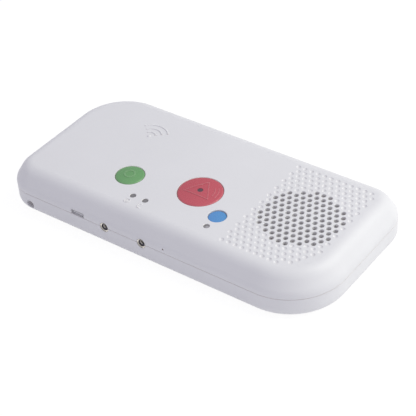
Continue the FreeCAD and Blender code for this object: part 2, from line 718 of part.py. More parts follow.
def lattice():
    """Grille places: the through-holes and the blind dimples of one triangular lattice."""
    step = s.hole_pitch.value / 2
    row = step * math.sqrt(3)
    flat_x = half_length.value - flat_inset.value
    flat_y = half_width.value - flat_inset.value
    radii = {True: s.corner_small.value - flat_inset.value, False: s.corner_large.value - flat_inset.value}
    holes = []
    dimples = []
    columns = int((flat_x + s.dimple_reach.value) / step)
    rows = int(flat_y / row)
    for v in range(-rows, rows + 1):
        for u in range(-columns, columns + 1):
            if (u + v) % 2:
                continue
            x = grille_x.value + u * step
            y = v * row
            if math.hypot(x - grille_x.value, y) <= s.sound_radius.value:
                holes.append((x, y))
                continue
            radius = radii[y > 0]
            over_x = x - (flat_x - radius)
            over_y = abs(y) - (flat_y - radius)
            reach = math.hypot(max(over_x, 0), max(over_y, 0)) + min(max(over_x, over_y), 0)
            if x >= grille_x.value - s.dimple_reach.value and reach <= radius - s.dimple_margin.value:
                dimples.append((x, y))
    return holes, dimples


def grille_tools():
    """Bevelled drillings for the grille's holes and spherical cups for its dimples."""
    holes, dimples = lattice()
    depth = s.dimple_depth.value
    cup = (s.dimple_width.value ** 2 / 4 + depth ** 2) / (2 * depth)
    skin = s.wall.value
    radius = s.hole_bore.value / 2
    bevel = s.rim_bevel.value
    high = top.value + bevel
    profile = [
        FreeCAD.Vector(0, 0, ceiling.value - skin),
        FreeCAD.Vector(radius, 0, ceiling.value - skin),
        FreeCAD.Vector(radius, 0, high - 2 * bevel),
        FreeCAD.Vector(radius + 2 * bevel, 0, high),
        FreeCAD.Vector(0, 0, high),
    ]
    face = Part.Face(Part.makePolygon(profile + profile[:1]))
    drilling = face.revolve(FreeCAD.Vector(), FreeCAD.Vector(0, 0, 1), 360)
    tools = [drilling.translated(FreeCAD.Vector(x, y, 0)) for x, y in holes]
    tools += [Part.makeSphere(cup, FreeCAD.Vector(x, y, top.value - depth + cup)) for x, y in dimples]
    feature = doc.addObject("Part::Feature", "grille_tools")
    feature.Shape = Part.makeCompound(tools)
    return feature


def line_round(width, height):
    """The radius of a round line that is sunk until this much of its width and height shows."""
    return (width * width / 4 + height * height) / (2 * height)


def ridge(radius, width, height, x, y, start, sweep):
    """A round raised line along an arc on the top of the case."""
    tube = line_round(width, height)
    torus = doc.addObject("Part::Torus", "ridge")
    bind(torus, "Radius1", radius)
    bind(torus, "Radius2", tube)
    torus.Angle3 = sweep
    torus.Placement = FreeCAD.Placement(FreeCAD.Vector(), FreeCAD.Rotation(FreeCAD.Vector(0, 0, 1), start))
    return move(torus, x, y, top + height - tube)


def dot(radius, height, x, y):
    """A low round dot on the top of the case."""
    sphere = line_round(2 * radius, height)
    return ball(sphere, x, y, top + height - sphere)


def wave_symbol():
    """A dot and three arcs that open towards the back."""
    x = grille_x - s.wave_offset
    y = s.wave_from_front - half_width
    pieces = [dot(s.wave_dot, s.wave_dot_height, x, y)]
    for index in range(3):
        radius = s.wave_radius + index * s.wave_step
        pieces.append(ridge(radius, s.wave_line, s.wave_height, x, y, 40, 100))
    return pieces


def light_icons():
    """Small raised signs in front of the two left indicator lights: a power sign and a handset."""
    y = s.icon_from_front - half_width
    width = s.icon_line
    height = s.icon_height
    tube = line_round(width, height)
    half_bar = s.power_bar / 2
    power_bar = bar(tube, (y - half_bar, y + half_bar), power_light_x, top + height - tube)
    power = ridge(s.icon_radius, width, height, power_light_x, y, 0, 360)
    x = line_light_x + s.handset_shift
    pieces = [power_bar, power, ridge(s.handset_radius, s.handset_line, height, x, y, 118, 145)]
    for angle in (math.radians(92), math.radians(285)):
        across = s.handset_radius * math.cos(angle)
        along = s.handset_radius * math.sin(angle)
        pieces.append(dot(s.handset_end, height, x + across, y + along))
    return pieces


def usb_slot():
    """The bevelled opening for the power inlet, with the parting line as its lower edge."""
    half = s.usb_width / 2 + s.usb_gap
    height = s.usb_height + s.usb_gap
    y_span = (-half_width - 1, usb_front + s.usb_length + s.usb_gap)
    slot = block(around(usb_x, half), y_span, (split, split + height))
    flare = 2 * s.usb_bevel
    bevel = doc.addObject("Part::Wedge", "bevel")
    limits = {
        "Xmin": -half - flare,
        "Xmax": half + flare,
        "Ymin": 0,
        "Ymax": flare,
        "Zmin": 0,
        "Zmax": height + flare,
        "X2min": -half,
        "X2max": half,
        "Z2min": 0,
        "Z2max": height,
    }
    for prop, value in limits.items():
        bind(bevel, prop, value)
    return fuse(slot, move(bevel, usb_x, -half_width - s.usb_bevel, split))


def jack_openings():
    """Round openings for both sockets, half in each cover."""
    radius = s.jack_ring_radius + s.jack_ring_gap
    return [bar(radius, (-half_width - 1, inner_front + 1), x, split) for x in jack_xs.values()]


def make_top_cover():
    """The upper cover: shell, screw bosses, guide collars, openings and raised symbols."""
    lip_inset = s.wall - s.lip_thickness - s.lip_gap
    rebate = case_plate(lip_inset, (split, split + s.lip_height + s.lip_headroom))
    shell = cut(upper_form(), room_form(), rebate)
    root_z = ceiling + s.wall / 2
    caps = [
        (s.call_radius, call_x, call_y),
        (s.cancel_radius, cancel_x, cancel_y),
        (s.assist_radius, assist_x, assist_y),
    ]
    collar = s.cap_gap + s.collar_wall
    collars = [rod(radius + collar, (collar_end, root_z), x, y) for radius, x, y in caps]
    light_xs = (power_light_x, line_light_x, assist_x)
    collars += [rod(s.light_radius + s.light_collar_wall, (collar_end, root_z), x, light_y) for x in light_xs]
    bosses = [rod(s.boss_radius, (split, root_z), x, y) for x, y in case_screw_places]
    bosses += [rod(s.speaker_boss_radius, (flange_under, root_z), x, y) for x, y in speaker_screw_places]
    cover = fuse(shell, *collars, *bosses, *wave_symbol(), *light_icons())
    through = (collar_end - 1, top + 1)
    openings = [drill(radius + s.cap_gap, through, x, y) for radius, x, y in caps]
    openings += [drill(s.light_radius, through, x, light_y) for x in light_xs]
    pilot = s.screw_radius + s.thread_gap
    pilot_end = underside + s.screw_seat + s.screw_length + 1
    openings += [rod(pilot, (split - 1, pilot_end), x, y) for x, y in case_screw_places]
    pilot = s.speaker_screw_radius + s.thread_gap
    pilot_end = ceiling + s.wall / 2
    openings += [rod(pilot, (flange_under - 1, pilot_end), x, y) for x, y in speaker_screw_places]
    openings.append(bar(s.microphone_bore, (-half_width - 1, inner_front + 1), microphone_x, microphone_z))
    cover = cut(cover, usb_slot(), *jack_openings(), *openings)
    node("top_cover", cut(cover, grille_tools()))


def make_bottom_cover():
    """The lower cover: tray with a locating lip, posts, foot recesses and a round side recess."""
    lip = case_plate(s.wall - s.lip_thickness, (split - 1, split + s.lip_height))
    tray = cut(fuse(lower_form(), lip), room_form())
    post_root = floor_top - s.wall / 2
    posts = [rod(s.post_radius, (post_root, split), x, y) for x, y in case_screw_places]
    posts += [rod(s.standoff_radius, (post_root, board_under), x, y) for x, y in standoffs]
    recess_x = s.corner_recess_inset - half_length
    recess_z = underside + s.corner_recess_rise
    recess_end = s.corner_recess_depth - half_width
    socket_end = recess_end + s.corner_recess_wall
    socket_radius = s.corner_recess_radius + s.corner_recess_wall
    socket = bar(socket_radius, (inner_front - s.wall / 2, socket_end), recess_x, recess_z)
    tray = fuse(tray, socket, *posts)
    seam_z = (split - s.seam_gap, split)
    outside = s.wall / 2
    seam = cut(case_plate(-outside, seam_z), case_plate(s.seam_depth, seam_z))
    seat = underside + s.screw_seat
    below = underside - 1
    cuts = [rod(s.screw_head_radius + s.screw_head_gap, (below, seat), x, y) for x, y in case_screw_places]
    cuts += [rod(s.screw_radius + s.screw_hole_gap, (below, split + 1), x, y) for x, y in case_screw_places]
    foot_span = (below, underside + s.foot_recess)
    cuts += [rod(s.foot_radius + s.foot_gap, foot_span, x, y) for x, y in foot_places]
    pilot = s.board_screw_radius + s.thread_gap
    cuts += [rod(pilot, (floor_top, board_under + 1), x, y) for x, y in standoffs]
    cuts.append(bar(s.corner_recess_radius, (-half_width - 1, recess_end), recess_x, recess_z))
    node("bottom_cover", cut(tray, seam, usb_slot(), *jack_openings(), *cuts))


def make_case_hardware():
    """Case screws and rubber feet."""
    seat = underside + s.screw_seat
    screws = []
    for x, y in case_screw_places:
        head = rod(s.screw_head_radius, (seat - s.screw_head_height, seat), x, y)
        drive = rod(s.screw_radius, (seat - s.screw_head_height, seat - s.screw_head_height / 2), x, y)
        thread = rod(s.screw_radius, (seat, seat + s.screw_length), x, y)
        screws.append(cut(fuse(head, thread), drive))
    node("case_screws", bundle(screws))
    foot_top = underside + s.foot_recess
    profile = [
        (0, 0.0),
        (s.foot_radius - s.foot_bevel, 0.0),
        (s.foot_radius, s.foot_bevel),
        (s.foot_radius, foot_top),
        (0, foot_top),
    ]
    node("rubber_feet", bundle([turned(profile, x, y) for x, y in foot_places]))


def crown_ball_radius(radius):
    """The radius of the ball whose cap has a crown's height over a cap's radius."""
    return (radius * radius + s.cap_crown * s.cap_crown) / (2 * s.cap_crown)


def crowned_cap(radius, crown, rounding):
    """The outer form of a cap down to its flange's upper side, with a rounded rim."""
    rim = crown - s.cap_crown
    flange_upper = collar_end - s.stop_gap
    low = flange_upper - 0.5
    body = turned([(0, crown), (radius, rim), (radius, low), (0, low)], crowned=True)
    soften(body, rim.value, rounding)
    return body


def cap_shell(radius, rim, x, y, stems):
    """A cap's flange and the tools that hollow it, with stems for the switches."""
    flange_upper = collar_end - s.stop_gap
    flange_lower = flange_upper - s.flange_thickness
    roof = rim - s.cap_skin
    flange = rod(radius + s.cap_gap + s.flange_reach, (flange_lower, flange_upper), x, y)
    hollow = rod(radius - s.cap_wall, (flange_lower - 1, roof), x, y)
    plunger_top = board_top + s.switch_height + s.plunger_rise
    stem_rods = [rod(s.stem_radius, (plunger_top, roof + s.cap_skin / 2), sx, y) for sx in stems]
    return flange, hollow, stem_rods


def call_symbol(crown_radius, centre_z):
    """A triangle and two arcs as raised lines that follow the crown of the call cap."""
    half_line = s.cap_line / 2
    half_base = s.call_sign_width / 2
    z_span = (top - 1, top + 3)
    apex = (0, s.call_sign_height - s.call_sign_drop)
    left = (-half_base, -s.call_sign_drop)
    right = (half_base, -s.call_sign_drop)
    pieces = []
    for start, end in ((left, apex), (apex, right), (right, left)):
        run_x = end[0] - start[0]
        run_y = end[1] - start[1]
        line = doc.addObject("Part::Box", "line")
        bind(line, "Length", root(run_x * run_x + run_y * run_y))
        bind(line, "Width", s.cap_line)
        bind(line, "Height", z_span[1] - z_span[0])
        angle = math.degrees(math.atan2(plain(run_y), plain(run_x)))
        turn = FreeCAD.Rotation(FreeCAD.Vector(0, 0, 1), angle)
        aside = turn.multVec(FreeCAD.Vector(0, -half_line.value, 0))
        line.Placement = FreeCAD.Placement(FreeCAD.Vector(), turn)
        pieces.append(move(line, call_x + start[0] + aside.x, call_y + start[1] + aside.y, z_span[0]))
        pieces.append(rod(half_line, z_span, call_x + start[0], call_y + start[1]))
    for radius in (s.call_arc_radius, s.call_arc_radius + s.call_arc_step):
        pieces.append(sector(radius + half_line, radius - half_line, z_span, call_x, call_y, -5, 48))
    raised = ball(crown_radius + s.cap_symbol_height, call_x, call_y, centre_z)
    return common(fuse(*pieces), raised)


def make_caps():
    """The three push caps with their flanges and stems."""
    rim = top + s.cap_rim
    crown = rim + s.cap_crown
    form = move(crowned_cap(s.call_radius, crown, s.cap_rounding), call_x, call_y)
    stems = (call_x - s.call_stem_spread, call_x + s.call_stem_spread)
    flange, hollow, rods = cap_shell(s.call_radius, rim, call_x, call_y, stems)
    call_ball = crown_ball_radius(s.call_radius)
    symbol = call_symbol(call_ball, crown - call_ball)
    shell = cut(fuse(form, flange, symbol), hollow)
    opening = rod(s.lens_radius + s.lens_gap, (ceiling - 1, crown + 1), call_x, call_y)
    node("call_cap", cut(fuse(shell, *rods), opening))
    roof = rim - s.cap_skin
    lens = rod(s.lens_radius, (roof - s.lens_flange, crown - s.lens_recess), call_x, call_y)
    flange = rod(s.lens_radius + s.lens_flange, (roof - s.lens_flange, roof), call_x, call_y)
    node("call_lens", fuse(lens, flange))

    form = move(crowned_cap(s.cancel_radius, crown, s.cap_rounding), cancel_x, cancel_y)
    flange, hollow, rods = cap_shell(s.cancel_radius, rim, cancel_x, cancel_y, (cancel_x,))
    cancel_ball = crown_ball_radius(s.cancel_radius)
    raised = ball(cancel_ball + s.cap_symbol_height, cancel_x, cancel_y, crown - cancel_ball)
    half_line = s.cancel_ring_line / 2
    sign = ring(
        s.cancel_ring_radius + half_line,
        s.cancel_ring_radius - half_line,
        (top - 1, top + 3),
        cancel_x,
        cancel_y,
    )
    sign = common(sign, raised)
    node("cancel_cap", fuse(cut(fuse(form, flange, sign), hollow), *rods))

    flat = top - s.assist_recess
    flange_upper = collar_end - s.stop_gap
    low = flange_upper - 0.5
    form = turned([(0, flat), (s.assist_radius, flat), (s.assist_radius, low), (0, low)])
    dress(form, "PartDesign::Fillet", flat.value, Radius=s.assist_rounding)
    move(form, assist_x, assist_y)
    flange, hollow, rods = cap_shell(s.assist_radius, flat, assist_x, assist_y, (assist_x,))
    node("assist_cap", fuse(cut(fuse(form, flange), hollow), *rods))


def push_switch(x, y):
    """A push switch's body with its well, and the plunger in it."""
    half = s.switch_width / 2
    body_top = board_top + s.switch_height
    plunger_low = body_top - s.plunger_depth
    well = rod(s.plunger_radius + s.plunger_gap, (plunger_low - s.button_travel - 0.1, body_top + 1), x, y)
    body = cut(block(around(x, half), around(y, half), (board_top, body_top)), well)
    plunger = rod(s.plunger_radius, (plunger_low, body_top + s.plunger_rise), x, y)
    return body, plunger


def make_switches():
    """Two push switches under the call cap and one under each other cap."""
    pairs = [push_switch(call_x + side * s.call_stem_spread, call_y) for side in (-1, 1)]
    node("call_switch_bodies", bundle([body for body, _ in pairs]))
    node("call_switch_plungers", bundle([plunger for _, plunger in pairs]))
    for name, x, y in (("cancel", cancel_x, cancel_y), ("assist", assist_x, assist_y)):
        body, plunger = push_switch(x, y)
        node(f"{name}_switch_body", body)
        node(f"{name}_switch_plunger", plunger)


def make_lights():
    """The call button's lamp on its spacer, the indicator lights and their light guides."""
    roof = top + s.cap_rim - s.cap_skin
    lamp_top = roof - s.lens_flange - s.button_travel - s.lamp_gap
    lamp_foot = lamp_top - s.lamp_height
    rim_radius = s.lamp_radius + s.lamp_rim
    flange = rod(rim_radius, (lamp_foot, lamp_foot + 1), call_x, call_y)
    dome = ball(s.lamp_radius, call_x, call_y, lamp_top - s.lamp_radius)
    shaft = rod(s.lamp_radius, (lamp_foot, lamp_top - s.lamp_radius), call_x, call_y)
    node("call_lamp", fuse(flange, shaft, dome))
    node("call_lamp_spacer", rod(rim_radius, (board_top, lamp_foot), call_x, call_y))

    led_top = board_top + s.status_led_height
    places = {"power": power_light_x, "line": line_light_x, "assist": assist_x}
    for name, x in places.items():
        base = rod(s.guide_base_radius, (led_top + 3 * s.guide_gap, collar_end - s.stop_gap), x, light_y)
        lens = rod(s.light_radius - s.guide_gap, (collar_end - 1, top - s.light_recess), x, light_y)
        node(f"{name}_light_guide", fuse(base, lens))
    half_x = s.status_led_length / 2
    half_y = s.status_led_width / 2
    leds = [block(around(x, half_x), around(light_y, half_y), (board_top, led_top)) for x in places.values()]
    node("status_leds", bundle(leds))


def make_board():
    """The main board with its socket notches and screws."""
    board = block((board_left, board_right), (board_front, board_back), (board_under, board_top))
    through = (board_under - 1, board_top + 1)
    cuts = [rod(s.board_screw_radius + s.board_hole_gap, through, x, y) for x, y in standoffs]
    notch = s.jack_body_width / 2 + s.board_notch_gap
    for x in jack_xs.values():
        cuts.append(block(around(x, notch), (board_front - 1, jack_body_back + s.board_notch_gap), through))
    node("main_board", cut(board, *cuts))
    screws = []
    for x, y in standoffs:
        head = rod(s.board_screw_head, (board_top, board_top + s.board_screw_height), x, y)
        thread = rod(s.board_screw_radius, (floor_top + s.board_screw_grip, board_top), x, y)
        screws.append(fuse(head, thread))
    node("board_screws", bundle(screws))


def make_sockets():
    """Both plug sockets with their metal rings, and the power inlet."""
    bore_span = (jack_front - 1, jack_front + s.jack_depth)
    half_height = s.jack_body_height / 2
    half_body = s.jack_body_width / 2
    contact_z = (board_top, board_top + s.contact_thickness)
    contacts = []
    nose_end = jack_front + s.jack_nose_length
    body_front = larger(nose_end, shoulder_inside(split + half_height) + s.shoulder_gap)
    for side, x in jack_xs.items():
        body = block(around(x, half_body), (body_front, jack_body_back), around(split, half_height))
        nose = bar(s.jack_ring_radius, (jack_ring_back, body_front), x, split)
        node(f"{side}_jack_body", cut(fuse(body, nose), bar(s.jack_bore_radius, bore_span, x, split)))
        collar = bar(s.jack_ring_radius, (jack_front, jack_ring_back), x, split)
        entry = doc.addObject("Part::Cone", "entry")
        bind(entry, "Radius1", s.jack_bore_radius + 2 * s.jack_entry)
        bind(entry, "Radius2", s.jack_bore_radius)
        bind(entry, "Height", 2 * s.jack_entry)
        entry.Placement = FreeCAD.Placement(FreeCAD.Vector(), FreeCAD.Rotation(FreeCAD.Vector(1, 0, 0), -90))
        move(entry, x, jack_front - s.jack_entry, split)
        node(f"{side}_jack_ring", cut(collar, bar(s.jack_bore_radius, bore_span, x, split), entry))
        reach = half_body + s.contact_reach
        spans = [(x - reach, x - half_body), (x + half_body, x + reach)]
        first = board_front + s.contact_start
        for y in (first, first + s.contact_pitch):
            contacts += [block(span, around(y, s.contact_width / 2), contact_z) for span in spans]
    node("jack_contacts", bundle(contacts))

    skin = s.usb_skin
    half = s.usb_width / 2
    usb_back = usb_front + s.usb_length
    usb_top = split + s.usb_height
    shell = block(around(usb_x, half), (usb_front, usb_back), (split, usb_top))
    room = block(around(usb_x, half - skin), (usb_front - 1, usb_back + 1), (split + skin, usb_top - skin))
    node("usb_shell", cut(shell, room))
    middle = split + s.usb_height / 2
    tongue_y = (usb_front + s.tongue_setback, usb_back)
    tongue = block(around(usb_x, half - 3 * skin), tongue_y, around(middle, s.tongue_thickness / 2))
    back = block(around(usb_x, half - skin), (usb_back - 1, usb_back), (split + skin, usb_top - skin))
    node("usb_tongue", fuse(tongue, back))


def make_microphone():
    """The microphone on the board in its rubber boot behind the side opening."""
    half_x = s.microphone_length / 2
    boot_top = microphone_z + 1
    boot_front = larger(board_front, shoulder_inside(boot_top) + s.shoulder_gap)
    near = boot_front + s.boot_wall + s.microphone_lip
    far = near + s.microphone_depth
    high = board_top + s.microphone_height
    play = s.microphone_play
    node("microphone", block(around(microphone_x, half_x), (near, far), (board_top, high)))
    boot_half = half_x + play + s.boot_wall
    boot = block(around(microphone_x, boot_half), (boot_front, far + s.boot_wall), (board_top, boot_top))
    snout_radius = s.microphone_bore + s.snout_wall
    front = larger(inner_front, shoulder_inside(microphone_z + snout_radius)) + s.snout_gap
    snout = bar(snout_radius, (front, near), microphone_x, microphone_z)
    nest = block(around(microphone_x, half_x + play), (near - play, far + play), (board_top - 1, high + play))
    middle = (near + far) / 2
    duct = bar(s.microphone_bore, (front - 1, middle), microphone_x, microphone_z)
    drop = rod(s.microphone_bore, (high, microphone_z), microphone_x, middle)
    node("microphone_boot", cut(fuse(boot, snout), nest, duct, drop))


def make_speaker():
    """The speaker with its foam ring, screws, terminal strip, connector and lead."""
    rim = s.speaker_radius
    seal = s.sound_radius + s.hole_bore / 2 - s.gasket_reach
    node("speaker_gasket", ring(rim, seal, (cone_top, ceiling), grille_x))

    sheet_under = basket_under - s.speaker_sheet
    wall_top = rim - s.speaker_rim
    hole = s.pole_radius + s.pole_gap
    frame = [
        (wall_top, flange_top),
        (rim, flange_top),
        (rim, flange_under),
        (wall_top + 0.5, flange_under),
        (s.speaker_neck + s.speaker_sheet, basket_under),
        (s.speaker_neck + s.speaker_sheet, sheet_under),
        (hole, sheet_under),
        (hole, basket_under),
        (s.speaker_neck, basket_under),
    ]
    node("speaker_frame", turned(frame, grille_x))

    magnet = rod(s.magnet_radius, (sheet_under - s.magnet_depth, sheet_under), grille_x)
    pole = rod(s.pole_radius, (sheet_under - 1, basket_under + s.pole_rise), grille_x)
    node("speaker_magnet", fuse(magnet, pole))

    skin = s.cone_thickness
    neck_z = basket_under + s.coil_rise
    roll_x = rim - s.roll_inset
    upper = [
        (rim, cone_top),
        (roll_x, cone_top),
        (roll_x - s.roll_width / 2, cone_top - s.roll_depth),
        (roll_x - s.roll_width, cone_top - s.roll_depth / 3),
        (s.coil_radius, neck_z + skin),
    ]
    lower = [(s.coil_radius, neck_z)] + [(radius, z - skin) for radius, z in reversed(upper[:-1])]
    node("speaker_cone", turned(upper + lower, grille_x))
    cap_rim = neck_z + skin + s.dust_cap_rise
    cap_low = cap_rim - s.dust_cap_edge
    cap_radius = s.dust_cap_radius
    dome = [(0, cap_rim + s.dust_cap_crown), (cap_radius, cap_rim), (cap_radius, cap_low), (0, cap_low)]
    node("speaker_dust_cap", turned(dome, grille_x, crowned=True))

    screws = []
    for x, y in speaker_screw_places:
        head = rod(s.speaker_screw_head, (flange_under - s.speaker_screw_height, flange_under), x, y)
        thread = rod(s.speaker_screw_radius, (flange_under, ceiling + s.wall / 4), x, y)
        screws.append(fuse(head, thread))
    node("speaker_screws", bundle(screws))

    strip_left = grille_x - rim + 0.1
    strip_x = (strip_left, strip_left + s.strip_width)
    strip_z = (flange_under - s.strip_thickness, flange_under)
    node("speaker_terminal_strip", block(strip_x, around(0, s.strip_length / 2), strip_z))
    plug_right = board_right - s.plug_inset
    plug_x = (plug_right - s.plug_length, plug_right)
    plug_y = around(0, s.plug_width / 2)
    node("speaker_connector", block(plug_x, plug_y, (board_top, board_top + s.plug_height)))
    lead_low = board_top + 2
    lead_high = flange_under - 0.5
    route = [
        (plug_right, lead_low),
        (plug_right + 4.4, lead_low),
        (strip_left - 4.5, lead_high),
        (strip_left, lead_high),
    ]
    wires = [wire_solid(f"speaker_wire_{side}", route, side * s.lead_spread) for side in (-1, 1)]
    node("speaker_lead", bundle(wires))


def wire_solid(name, route, y):
    """A round wire along a route in the XZ plane: straight runs joined by tangent arcs."""
    points = [FreeCAD.Vector(plain(x), plain(y), plain(z)) for x, z in route]
    radius = s.lead_radius.value
    edges = []
    here = points[0]
    length = 0.0
    for before, point, after in zip(points, points[1:], points[2:]):
        incoming = (point - before).normalize()
        outgoing = (after - point).normalize()
        half_angle = incoming.getAngle(outgoing) / 2
        setback = 0.45 * min((point - before).Length, (after - point).Length)
        bend = setback / math.tan(half_angle)
        start = point - incoming * setback
        end = point + outgoing * setback
        inward = (outgoing - incoming).normalize()
        middle = point + inward * (bend / math.cos(half_angle) - bend)
        edges.append(Part.LineSegment(here, start).toShape())
        edges.append(Part.Arc(start, middle, end).toShape())
        length += (start - here).Length + 2 * half_angle * bend
        print(f"{name}: bend radius {bend:.2f} mm")
        here = end
    edges.append(Part.LineSegment(here, points[-1]).toShape())
    length += (points[-1] - here).Length
    spine = Part.Wire(edges)
    direction = (points[1] - points[0]).normalize()
    section = Part.Wire(Part.Circle(points[0], direction, radius).toShape())
    feature = doc.addObject("Part::Feature", name)
    feature.Shape = spine.makePipeShell([section], True, False)
    expected = math.pi * radius ** 2 * length
    print(f"{name}: volume {feature.Shape.Volume:.3f} of {expected:.3f} mm3")
    return feature


def make_power():
    """The backup battery on its pad, its connector under the board and its lead."""
    left = board_left + s.battery_inset
    right = left + s.battery_length
    low = floor_top + s.pad_thickness
    high = low + s.battery_thickness
    half = s.battery_width / 2
    battery = plate(s.battery_length / 2, half, s.battery_thickness, s.battery_corner)
    dress(battery, "PartDesign::Fillet", s.battery_thickness.value, Radius=s.battery_rounding)
    dress(battery, "PartDesign::Fillet", 0, Radius=s.battery_rounding)
    node("backup_battery", move(battery, left + s.battery_length / 2, 0, low))
    pad_x = (left + s.pad_inset, right - s.pad_inset)
    node("battery_pad", block(pad_x, (s.pad_inset - half, half - s.pad_inset), (floor_top, low)))
    socket = (right + s.socket_gap, right + s.socket_gap + s.socket_length)
    socket_y = around(0, s.socket_width / 2)
    node("battery_connector", block(socket, socket_y, (board_under - s.plug_height, board_under)))
    middle = (low + high) / 2
    wires = []
    for side in (-1, 1):
        wire = rod(s.lead_radius, (0, socket[0] - right))
        wire.Placement = FreeCAD.Placement(FreeCAD.Vector(), FreeCAD.Rotation(FreeCAD.Vector(0, 1, 0), 90))
        wires.append(move(wire, right, side * s.lead_spread, middle))
    node("battery_lead", bundle(wires))


def make_board_parts():
    """The radio module, the processor and the other larger parts on the board."""
    row_y = s.wave_from_front - half_width
    radio_x = board_left + s.radio_inset
    radio_top = board_top + s.radio_thickness
    node("radio_module", chip(radio_x, row_y, s.radio_width, s.radio_length, (board_top, radio_top)))
    shield_z = (radio_top, radio_top + s.shield_height)
    node("radio_shield", chip(radio_x, row_y - s.shield_shift, s.shield_width, s.shield_length, shield_z))
    side = s.processor_width
    chip_x = board_left + s.processor_share * (board_right - board_left)
    chip_y = row_y - s.processor_shift
    node("processor", chip(chip_x, chip_y, side, side, (board_top, board_top + s.processor_height)))
    crystal = plate(s.crystal_width / 2, s.crystal_length / 2, s.crystal_height, s.crystal_width / 2 - 0.1)
    crystal_x = chip_x - side / 2 - s.crystal_gap - s.crystal_width / 2
    node("crystal", move(crystal, crystal_x, chip_y, board_top))
    side = s.amplifier_width
    amplifier_z = (board_top, board_top + s.amplifier_height)
    node("amplifier", chip(board_right - s.amplifier_inset, row_y, side, side, amplifier_z))
    can_z = (board_top, board_top + s.capacitor_height)
    can_y = standoff_ys[1] - s.board_screw_head - s.capacitor_gap - s.capacitor_radius
    can_ys = (can_y, can_y - s.capacitor_pitch)
    cans = [rod(s.capacitor_radius, can_z, board_right - s.capacitor_inset, y) for y in can_ys]
    node("capacitors", bundle(cans))


def chip(x, y, width, length, z_span):
    """A flat box about a middle."""
    return block(around(x, width / 2), around(y, length / 2), z_span)


def check_document():
    """Stop if any object failed or a sub-part has no sound solid."""
    for thing in doc.Objects:
        if "Invalid" in thing.State or "Error" in thing.State:
            raise RuntimeError(f"{thing.Label} failed: {thing.State}")
    for name, thing in nodes.items():
        shape = thing.Shape
        if shape.isNull() or not shape.isValid() or not shape.Solids:
            raise RuntimeError(f"{name} is not a sound solid")


make_top_cover()
make_bottom_cover()
make_case_hardware()
make_caps()
make_switches()
make_lights()
make_board()
make_sockets()
make_microphone()
make_speaker()
make_power()
make_board_parts()
doc.recompute()
check_document()
os.makedirs("parts", exist_ok=True)
for name, thing in nodes.items():
    thing.Shape.exportStep(f"parts/{name}.step")
    print(f"{name}: {len(thing.Shape.Solids)} solid(s), {thing.Shape.Volume:.1f} mm3")
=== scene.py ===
import json
import math

import bmesh
import bpy
from mathutils import Matrix, Vector


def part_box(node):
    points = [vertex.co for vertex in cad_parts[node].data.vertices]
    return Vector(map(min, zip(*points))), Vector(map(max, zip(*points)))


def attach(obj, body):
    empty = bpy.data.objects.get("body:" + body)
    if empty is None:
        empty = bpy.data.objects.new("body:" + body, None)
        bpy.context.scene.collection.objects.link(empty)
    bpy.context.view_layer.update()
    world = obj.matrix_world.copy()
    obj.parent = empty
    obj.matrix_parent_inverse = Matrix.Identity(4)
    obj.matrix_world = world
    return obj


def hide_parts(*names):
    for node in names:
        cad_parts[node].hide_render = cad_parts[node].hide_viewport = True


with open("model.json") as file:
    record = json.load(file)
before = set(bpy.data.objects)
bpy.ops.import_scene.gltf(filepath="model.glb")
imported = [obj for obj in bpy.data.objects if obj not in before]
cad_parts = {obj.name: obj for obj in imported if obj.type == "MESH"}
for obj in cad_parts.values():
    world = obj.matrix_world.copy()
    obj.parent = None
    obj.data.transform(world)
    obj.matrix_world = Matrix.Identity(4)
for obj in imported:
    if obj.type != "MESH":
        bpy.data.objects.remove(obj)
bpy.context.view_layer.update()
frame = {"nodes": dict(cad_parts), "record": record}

nodes = frame["nodes"]
scene = bpy.context.scene
MM = 0.001


def middle_of(box):
    low, high = box
    return (low + high) / 2


# Shader building blocks

